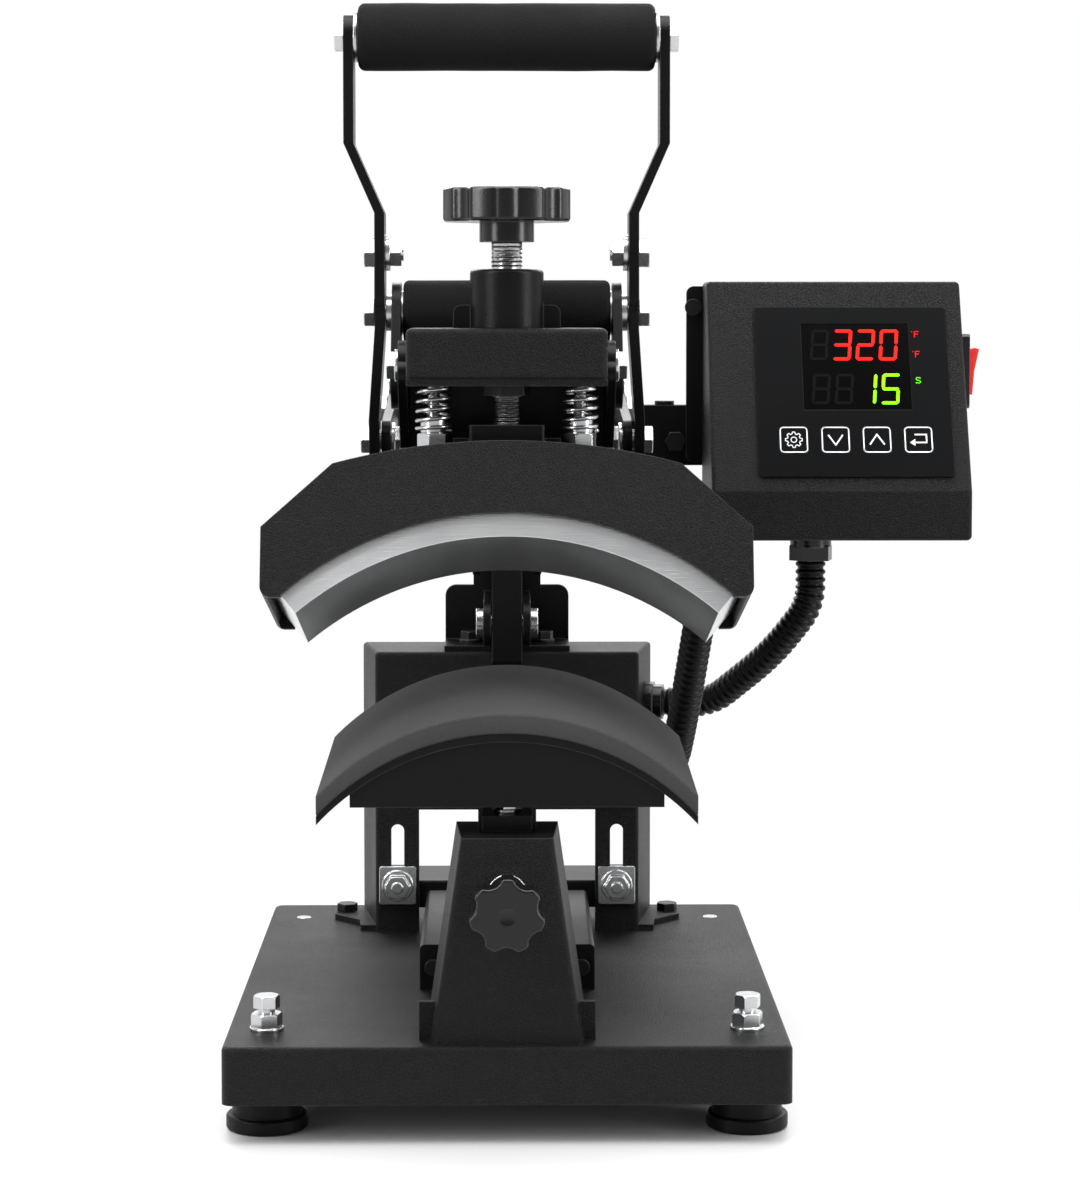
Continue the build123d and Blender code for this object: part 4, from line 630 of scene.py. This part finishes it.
def tube_along(path: Sequence[Vector], radii: Sequence[float], sides: int) -> bmesh.types.BMesh:
    """A tube with capped ends along a path, with a radius at each of its points."""
    mesh = bmesh.new()
    rings, side = [], Vector((0.0, 0.0, 1.0))
    for i, (point, r) in enumerate(zip(path, radii)):
        along = (path[min(i + 1, len(path) - 1)] - path[max(i - 1, 0)]).normalized()
        side = (side - along * side.dot(along))
        side = side.normalized() if side.length > 1e-6 else along.orthogonal().normalized()
        other = along.cross(side)
        ring = []
        for k in range(sides):
            a = 2 * math.pi * k / sides
            ring.append(mesh.verts.new(point + side * (r * math.cos(a)) + other * (r * math.sin(a))))
        rings.append(ring)
    for first, second in zip(rings, rings[1:]):
        for k in range(sides):
            j = (k + 1) % sides
            mesh.faces.new((first[k], first[j], second[j], second[k]))
    mesh.faces.new(rings[0])
    mesh.faces.new(rings[-1])
    return mesh


def rounded_route(points: Sequence[Vector], step: float) -> list[Vector]:
    """The route of a conduit: straight runs joined by arcs, sampled evenly.

    Args:
        points: the corners of the route.
        step: spacing of the samples in metres.

    Returns:
        The sampled points.
    """
    dense: list[Vector] = [points[0].copy()]
    for a, b, c in zip(points, points[1:], points[2:]):
        into, out = (b - a), (c - b)
        turn = into.angle(out)
        run = ARC_SHARE * min(into.length, out.length)
        start, end = b - into.normalized() * run, b + out.normalized() * run
        radius = run / math.tan(turn / 2)
        axis = into.cross(out).normalized()
        centre = start + axis.cross(into.normalized()) * radius
        dense.append(start)
        for i in range(1, ARC_STEPS + 1):
            dense.append(centre + Matrix.Rotation(turn * i / ARC_STEPS, 3, axis) @ (start - centre))
        dense[-1] = end
    dense.append(points[-1].copy())
    lengths = [0.0]
    for a, b in zip(dense, dense[1:]):
        lengths.append(lengths[-1] + (b - a).length)
    count = max(2, round(lengths[-1] / step))
    samples, k = [], 0
    for i in range(count + 1):
        want = lengths[-1] * i / count
        while k < len(lengths) - 2 and lengths[k + 1] < want:
            k += 1
        share = (want - lengths[k]) / max(lengths[k + 1] - lengths[k], 1e-9)
        samples.append(dense[k].lerp(dense[k + 1], share))
    return samples


class SoftPieces:
    """Foam, pad, springs and conduits, which stand for their CAD nodes."""

    def __init__(self, builder: Builder) -> None:
        self.builder = builder
        self.shop = builder.shop

    def foam_sleeve(self, sleeve: Sleeve) -> None:
        """A foam sleeve with rounded rims and a slightly uneven skin."""
        half, r, rim, bore = sleeve.half, sleeve.radius, sleeve.rim, SLEEVE_BORE
        profile = [(-half * MM, bore * MM)]
        for i in range(SLEEVE_RIM_STEPS + 1):
            a = math.pi / 2 * i / SLEEVE_RIM_STEPS
            profile.append(((-half + rim - rim * math.cos(a)) * MM, (r - rim + rim * math.sin(a)) * MM))
        for i in range(1, SLEEVE_STEPS):
            profile.append(((-half + rim + (2 * half - 2 * rim) * i / SLEEVE_STEPS) * MM, r * MM))
        for i in range(SLEEVE_RIM_STEPS + 1):
            a = math.pi / 2 * i / SLEEVE_RIM_STEPS
            profile.append(((half - rim + rim * math.sin(a)) * MM, (r - rim + rim * math.cos(a)) * MM))
        profile.append((half * MM, bore * MM))
        centre = row(0, HANDLE_AXIS_Y, sleeve.height)
        mesh = revolve_x(profile, centre)
        for vert in mesh.verts:
            radial = vert.co - centre
            radial.x = 0
            if radial.length > (bore + 1) * MM:
                lift = noise.noise(vert.co * SKIN_SCALE) * SKIN_WAVE - SKIN_SINK
                vert.co += radial.normalized() * lift * MM
        obj = self.builder.piece(sleeve.name, mesh, self.shop.get("foam"), sleeve.body, "foam")
        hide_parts(sleeve.node)

    def cap_pad(self) -> None:
        """The silicone foam pad on the lower platen, with softened edges."""
        frame = Matrix.Translation(row(*PAD_PLACE)) @ Matrix.Rotation(math.radians(PAD_TILT), 4, "X")
        mesh = bmesh.new()
        nx, ny = 72, 28
        layers = []
        for top in (True, False):
            grid = []
            for j in range(ny + 1):
                y = PAD_DEPTH * j / ny
                wide = PAD_HALF_FRONT + (PAD_HALF_BACK - PAD_HALF_FRONT) * j / ny
                line = []
                for i in range(nx + 1):
                    x = wide * (2 * i / nx - 1)
                    z = math.sqrt(PAD_CROWN_R ** 2 - x ** 2) - PAD_CROWN_R - (0 if top else PAD_THICK)
                    line.append(mesh.verts.new(Vector((x, y, z)) * MM))
                grid.append(line)
            for j in range(ny):
                for i in range(nx):
                    mesh.faces.new((grid[j][i], grid[j][i + 1], grid[j + 1][i + 1], grid[j + 1][i]))
            layers.append(grid)
        upper, lower = layers
        for j in (0, ny):
            for i in range(nx):
                mesh.faces.new((upper[j][i], upper[j][i + 1], lower[j][i + 1], lower[j][i]))
        for i in (0, nx):
            for j in range(ny):
                mesh.faces.new((upper[j][i], upper[j + 1][i], lower[j + 1][i], lower[j][i]))
        bmesh.ops.recalc_face_normals(mesh, faces=mesh.faces)
        sharp = [e for e in mesh.edges if e.calc_face_angle(0.0) > math.radians(50)]
        bmesh.ops.bevel(mesh, geom=sharp, offset=PAD_EDGE * MM, segments=3, profile=0.5, affect="EDGES")
        obj = self.builder.piece("pad_foam", mesh, self.shop.get("pad_rubber"), "lower_platen", "pad_rubber",
                                 place=frame)
        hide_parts("platen_pad")

    def springs(self) -> None:
        """Both pressure springs, between the crosshead and the carriage."""
        seat_low, seat_high = SPRING_SEATS
        low, high = seat_low + SPRING_WIRE_R, seat_high - SPRING_WIRE_R
        wide = (high - low - 2 * SPRING_CLOSE_PITCH) / (SPRING_TURNS - 2)
        for side, name in ((-1, "spring_left"), (1, "spring_right")):
            path, z = [], low
            for i in range(SPRING_TURNS * SPRING_STEPS + 1):
                turn = i / SPRING_STEPS
                a = 2 * math.pi * turn
                path.append(row(side * STUD_X + SPRING_R * math.cos(a), SCREW_Y + SPRING_R * math.sin(a), z))
                end_turn = turn < 1 or turn >= SPRING_TURNS - 1
                z += (SPRING_CLOSE_PITCH if end_turn else wide) / SPRING_STEPS
            mesh = tube_along(path, [SPRING_WIRE_R * MM] * len(path), SPRING_SIDES)
            obj = self.builder.piece(name, mesh, self.shop.get("steel"), "", "steel")
            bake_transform(obj)
            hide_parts("pressure_springs")

    def conduit(self, name: str, node: str,
                corners: Sequence[Vector]) -> tuple[bpy.types.Object, list[Vector]]:
        """A corrugated conduit.

        Args:
            name: the piece's name.
            node: the CAD node that it stands for.
            corners: the corners of its route.

        Returns:
            The piece and the points that it follows.
        """
        path = rounded_route(corners, CONDUIT_PITCH * MM / CONDUIT_STEPS)
        radii = []
        for i in range(len(path)):
            phase = (i % CONDUIT_STEPS) / CONDUIT_STEPS
            crest = 0.5 - 0.5 * math.cos(2 * math.pi * phase)
            swell = min(1.0, max(0.0, crest * RIB_STEEP - RIB_SINK))
            radii.append((CONDUIT_ROOT_R + CONDUIT_RIB_H * swell) * MM)
        mesh = tube_along(path, radii, CONDUIT_SIDES)
        obj = self.builder.piece(name, mesh, self.shop.get("conduit"), "", "conduit")
        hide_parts(node)
        return obj, path

    def control_conduit(self) -> None:
        """The conduit from the control box's gland to the tower's side."""
        flare = TOWER_BACK_HALF - TOWER_FRONT_HALF
        slope = math.atan2(flare, TOWER_D)
        out = Vector((math.cos(slope), -math.sin(slope), 0.0))
        wall = Vector((TOWER_FRONT_HALF + TOWER_GLAND_DEPTH * flare / TOWER_D, *TOWER_GLAND_PLACE))
        near, far = wall + out * GLAND_REACH, wall + out * CORNER_REACH
        corners = [row(*point) for point in (*CONTROL_ROUTE, far, near)]
        obj, path = self.conduit("control_conduit", "conduit_control", corners)
        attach(obj, "frame")

    def heater_conduit(self) -> None:
        """The conduit from the tower to the heater, between the frame and the arm."""
        tilt = Matrix.Translation(HEATER_CROWN) @ Matrix.Rotation(math.radians(-HEATER_TILT), 4, "X")
        start, corner = tilt @ Vector(HEATER_GLAND), tilt @ Vector(HEATER_CORNER)
        corners = [row(*point) for point in (start, corner, *HEATER_ROUTE)]
        obj, path = self.conduit("heater_conduit", "conduit_heater", corners)
        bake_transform(obj)

    def build(self) -> None:
        """Builds every soft or wound piece."""
        for sleeve in SLEEVES:
            self.foam_sleeve(sleeve)
        self.cap_pad()
        self.springs()
        self.control_conduit()
        self.heater_conduit()


class ControlFace:
    """What is printed on and lit up in the control box's sloping face; s runs up the slope."""

    SEGMENTS = {"0": "abcdef", "1": "bc", "2": "abdeg", "3": "abcdg", "5": "acdfg", "8": "abcdefg", " ": ""}
    DEGREE = ((215.25, 1.5), (214.9, 1.85), (214.55, 1.5), (214.9, 1.15))
    LETTER_F = (((216.2, -1.6), (216.2, 1.6), (218.2, 1.6)), ((216.2, 0.1), (217.8, 0.1)))
    LETTER_S = ((218.0, 1.4), (216.2, 1.6), (215.8, 0.8), (216.2, 0.1), (217.7, -0.1), (218.1, -0.9),
                (217.5, -1.6), (215.8, -1.4))

    def __init__(self, builder: Builder) -> None:
        self.builder = builder
        self.shop = builder.shop
        slope = math.atan2(FACE_TOP_Z - FACE_FOOT[2], FACE_LEAN)
        self.frame = Matrix.Translation(row(*FACE_FOOT)) @ Matrix.Rotation(slope, 4, "X")

    def flat(self, name: str, outlines: Iterable[Outline], material: bpy.types.Material, lift: float,
             body: str = "frame") -> None:
        """Thin printed or lit shapes from closed outlines in millimetres on the face."""
        mesh = bmesh.new()
        for outline in outlines:
            verts = [mesh.verts.new(Vector((x, s, lift)) * MM) for x, s in outline]
            mesh.faces.new(verts)
        thick = bmesh.ops.extrude_face_region(mesh, geom=mesh.faces[:])
        moved = [v for v in thick["geom"] if isinstance(v, bmesh.types.BMVert)]
        bmesh.ops.translate(mesh, verts=moved, vec=(0, 0, PRINT_T * MM))
        self.builder.piece(name, mesh, material, body, None, smooth=False, place=self.frame)

    @staticmethod
    def stroke(points: Outline, width: float, closed: bool = False) -> list[Outline]:
        """Quads along a line, each a little longer than its run so that corners close."""
        quads = []
        ends = list(points[1:]) + ([points[0]] if closed else [])
        for (xa, sa), (xb, sb) in zip(points, ends):
            dx, ds = xb - xa, sb - sa
            length = math.hypot(dx, ds) or 1.0
            ux, us = dx / length * width / 2, ds / length * width / 2
            quads.append([(xa - ux - us, sa - us + ux), (xa - ux + us, sa - us - ux),
                          (xb + ux + us, sb + us - ux), (xb + ux - us, sb + us + ux)])
        return quads

    @staticmethod
    def raised(points: Outline, s: float) -> Outline:
        """The points of a sign, moved up the slope to s."""
        return [(x, up + s) for x, up in points]

    def digit(self, text: str, x: float, s: float, height: float) -> list[Outline]:
        """The lit segments of one slanted digit whose lower left corner is (x, s)."""
        width, gap = DIGIT_W, DIGIT_GAP
        h = width * DIGIT_LINE / 2
        mid, right, top = height / 2, width - h, height - h
        spans = {"a": ((gap, top), (width - gap, top)), "g": ((gap, mid), (width - gap, mid)),
                 "d": ((gap, h), (width - gap, h)), "f": ((h, mid + gap), (h, height - gap)),
                 "b": ((right, mid + gap), (right, height - gap)), "e": ((h, gap), (h, mid - gap)),
                 "c": ((right, gap), (right, mid - gap))}
        shapes = []
        for key in self.SEGMENTS[text]:
            (xa, sa), (xb, sb) = spans[key]
            if key in "adg":
                far = [(xb - h, sa + h), (xb, sa), (xb - h, sa - h), (xa + h, sa - h)]
            else:
                far = [(xa + h, sb - h), (xa, sb), (xa - h, sb - h), (xa - h, sa + h)]
            six = [(xa, sa), (xa + h, sa + h)] + far
            shapes.append([(x + px + DIGIT_SLANT * ps, s + ps) for px, ps in six])
        return shapes

    def display(self) -> None:
        """Both rows of the display, lit and unlit."""
        red = self.shop.glow("lit_red", (1.0, 0.012, 0.008), 1.5)
        green = self.shop.glow("lit_green", (0.19, 1.0, 0.006), 1.15)
        dim = self.shop.glow("unlit", (0.0055, 0.0045, 0.0045), 0.0)
        for reading, lit in zip(READINGS, (red, green)):
            on, off = [], []
            for i, char in enumerate(reading.text):
                x = DIGIT_LEFT + DIGIT_PITCH * i
                on += self.digit(char, x, reading.foot, reading.height)
                if char == " ":
                    off += self.digit("8", x, reading.foot, reading.height)
            self.flat(reading.name, on, lit, LIT_LIFT)
            self.flat(reading.name + "_unlit", off, dim, UNLIT_LIFT)
        marks = []
        for s in MARK_S:
            marks.append(self.raised(self.DEGREE, s))
            for line in self.LETTER_F:
                marks += self.stroke(self.raised(line, s), MARK_LINE)
        self.flat("unit_marks", marks, self.shop.glow("faint_red", (0.7, 0.012, 0.01), 0.55), MARK_LIFT)
        self.flat("time_mark", self.stroke(self.raised(self.LETTER_S, TIME_MARK_S), MARK_LINE),
                  self.shop.glow("faint_green", (0.10, 0.6, 0.01), 0.6), MARK_LIFT)

    def keys(self) -> None:
        """The printed outline and sign of each key, which move with it."""
        white = self.shop.get("print_white")
        signs: dict[str, Callable[[float], list[Outline]]] = {
            "settings_key": self.gear, "down_key": self.down, "up_key": self.up, "enter_key": self.enter}
        reach = KEY_HALF - KEY_CORNER
        for (body, sign), x in zip(signs.items(), KEY_X):
            ring = []
            for cx, cs, start in ((1, 1, 0), (-1, 1, 90), (-1, -1, 180), (1, -1, 270)):
                for i in range(5):
                    a = math.radians(start + 22.5 * i)
                    ring.append((x + cx * reach + KEY_CORNER * math.cos(a),
                                 KEY_S + cs * reach + KEY_CORNER * math.sin(a)))
            outline = self.stroke(ring, KEY_OUTLINE, closed=True)
            self.flat(body + "_print", outline + sign(x), white, KEY_LIFT, body)

    def down(self, x: float) -> list[Outline]:
        """A chevron that points down."""
        points = [(x - 3.6, KEY_S + 2.4), (x, KEY_S - 3.0), (x + 3.6, KEY_S + 2.4)]
        return self.stroke(points, KEY_SIGN_LINE)

    def up(self, x: float) -> list[Outline]:
        """A chevron that points up."""
        points = [(x - 3.6, KEY_S - 2.4), (x, KEY_S + 3.0), (x + 3.6, KEY_S - 2.4)]
        return self.stroke(points, KEY_SIGN_LINE)

    def gear(self, x: float) -> list[Outline]:
        """A gear with eight teeth and a hub."""
        ring = []
        for i in range(16):
            r, half = (3.4, 0.30) if i % 2 else (4.4, 0.34)
            for turn in (-half, half):
                a = math.radians(22.5 * (i + turn))
                ring.append((x + r * math.cos(a), KEY_S + r * math.sin(a)))
        hub = []
        for i in range(12):
            a = math.radians(30 * i)
            hub.append((x + 1.5 * math.cos(a), KEY_S + 1.5 * math.sin(a)))
        return self.stroke(ring, GEAR_LINE, closed=True) + self.stroke(hub, GEAR_LINE, closed=True)

    def enter(self, x: float) -> list[Outline]:
        """A return arrow."""
        top, bottom = KEY_S + 2.9, KEY_S - 1.6
        line = [(x - 1.6, top), (x + 4.2, top), (x + 4.2, bottom), (x - 2.4, bottom)]
        head = [(x - 4.6, bottom), (x - 1.8, bottom + 1.9), (x - 1.8, bottom - 1.9)]
        return self.stroke(line, KEY_SIGN_LINE) + [head]

    def build(self) -> None:
        """Builds the whole face."""
        self.display()
        self.keys()


class Stage:
    """Camera, floor and light."""

    def camera(self) -> None:
        """A long lens at the height of the crosshead, in front of the press."""
        data = bpy.data.cameras.new("camera")
        data.lens = CAMERA_LENS
        data.shift_y = CAMERA_SHIFT
        data.clip_end = 20.0
        camera = bpy.data.objects.new("camera", data)
        camera.location = row(*CAMERA_PLACE)
        camera.rotation_euler = Vector(CAMERA_WAY).to_track_quat("-Z", "Y").to_euler()
        bpy.context.scene.collection.objects.link(camera)
        bpy.context.scene.camera = camera

    def floor(self) -> None:
        """A floor that takes the shadow near the press and is plain white farther out."""
        mesh = bmesh.new()
        bmesh.ops.create_grid(mesh, x_segments=1, y_segments=1, size=FLOOR_HALF)
        data = bpy.data.meshes.new("floor")
        mesh.to_mesh(data)
        mesh.free()
        floor = bpy.data.objects.new("floor", data)
        floor.location.z = FLOOR_Z
        material = bpy.data.materials.new("floor_white")
        material.use_nodes = True
        material.node_tree.nodes.clear()
        g = NodeGraph(material.node_tree)
        paper = g.add("ShaderNodeBsdfPrincipled", {"Base Color": (0.58, 0.58, 0.58, 1.0),
                                                   "Roughness": 0.32, "Specular IOR Level": 0.25})
        path = g.add("ShaderNodeLightPath")
        seen = g.math("MAXIMUM", path.outputs["Is Camera Ray"], path.outputs["Is Transmission Ray"])
        seen = g.math("MAXIMUM", seen, path.outputs["Is Glossy Ray"])
        away = g.add("ShaderNodeVectorMath", {0: g.object_place()}, operation="LENGTH")
        fade = g.add("ShaderNodeMapRange", {"Value": away.outputs["Value"], "From Min": FLOOR_FADE[0],
                                            "From Max": FLOOR_FADE[1]}, interpolation_type="SMOOTHSTEP")
        white = g.add("ShaderNodeEmission", {"Color": WHITE, "Strength": 1.0})
        share = g.math("MULTIPLY", seen, fade.outputs[0])
        mix = g.add("ShaderNodeMixShader", {0: share, 1: paper.outputs[0], 2: white.outputs[0]})
        g.add("ShaderNodeOutputMaterial", {"Surface": mix.outputs[0]})
        data.materials.append(material)
        bpy.context.scene.collection.objects.link(floor)
        floor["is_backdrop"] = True

    def world(self) -> None:
        """White to the camera, a softer white for light, and darker in reflections from the front."""
        world = bpy.data.worlds.new("studio")
        world.use_nodes = True
        world.node_tree.nodes.clear()
        g = NodeGraph(world.node_tree)
        path = g.add("ShaderNodeLightPath")
        seen = g.math("MAXIMUM", path.outputs["Is Camera Ray"], path.outputs["Is Transmission Ray"])
        where = g.add("ShaderNodeTexCoord")
        way = g.add("ShaderNodeSeparateXYZ", {0: where.outputs["Generated"]})
        back = g.add("ShaderNodeMapRange", {"Value": way.outputs["Y"], "From Min": -0.75,
                                            "From Max": 0.35, "To Min": 0.26, "To Max": 1.0},
                     interpolation_type="SMOOTHSTEP")
        soft, mirrored, white = (g.add("ShaderNodeBackground", {"Color": WHITE, "Strength": strength})
                                 for strength in (WORLD_LIGHT, back.outputs[0], 1.0))
        unseen = g.add("ShaderNodeMixShader", {0: path.outputs["Is Glossy Ray"], 1: soft.outputs[0],
                                               2: mirrored.outputs[0]})
        mix = g.add("ShaderNodeMixShader", {0: seen, 1: unseen.outputs[0], 2: white.outputs[0]})
        g.add("ShaderNodeOutputWorld", {"Surface": mix.outputs[0]})
        bpy.context.scene.world = world

    def lamp(self, box: Softbox) -> None:
        """A softbox that points at the middle of the press."""
        data = bpy.data.lights.new(box.name, "AREA")
        data.shape = "RECTANGLE"
        data.size, data.size_y = box.size
        data.energy = box.power
        lamp = bpy.data.objects.new(box.name, data)
        lamp.location = box.place
        aim = Vector(LAMP_AIM) - Vector(box.place)
        lamp.rotation_euler = aim.to_track_quat("-Z", "Y").to_euler()
        bpy.context.scene.collection.objects.link(lamp)

    def build(self) -> None:
        """Sets the camera, floor, world and softboxes."""
        self.camera()
        self.floor()
        self.world()
        for box in SOFTBOXES:
            self.lamp(box)
        bpy.context.scene.view_settings.view_transform = "Standard"


class HeatPress:
    """The whole scene."""

    def __init__(self) -> None:
        self.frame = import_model()
        self.size = {"loaded": [list(corner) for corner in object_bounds()]}
        self.shop = MaterialShop()
        self.builder = Builder(self.shop)

    def dress(self) -> None:
        """Gives each CAD node its finish."""
        for name, node in self.frame["nodes"].items():
            finish = NODE_FINISHES.get(name)
            if finish is None:
                LOG.info("node %s is replaced and keeps its first material", name)
                continue
            node.data.materials.clear()
            node.data.materials.append(self.shop.get(finish))

    def build(self) -> None:
        """Builds the scene."""
        self.dress()
        SoftPieces(self.builder).build()
        ControlFace(self.builder).build()
        Stage().build()
        self.size["finished"] = [list(corner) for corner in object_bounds()]
        LOG.info("sizes %s", self.size)


def main() -> None:
    """Builds the press."""
    logging.basicConfig(level=logging.INFO)
    HeatPress().build()


if __name__ == "__main__":
    main()
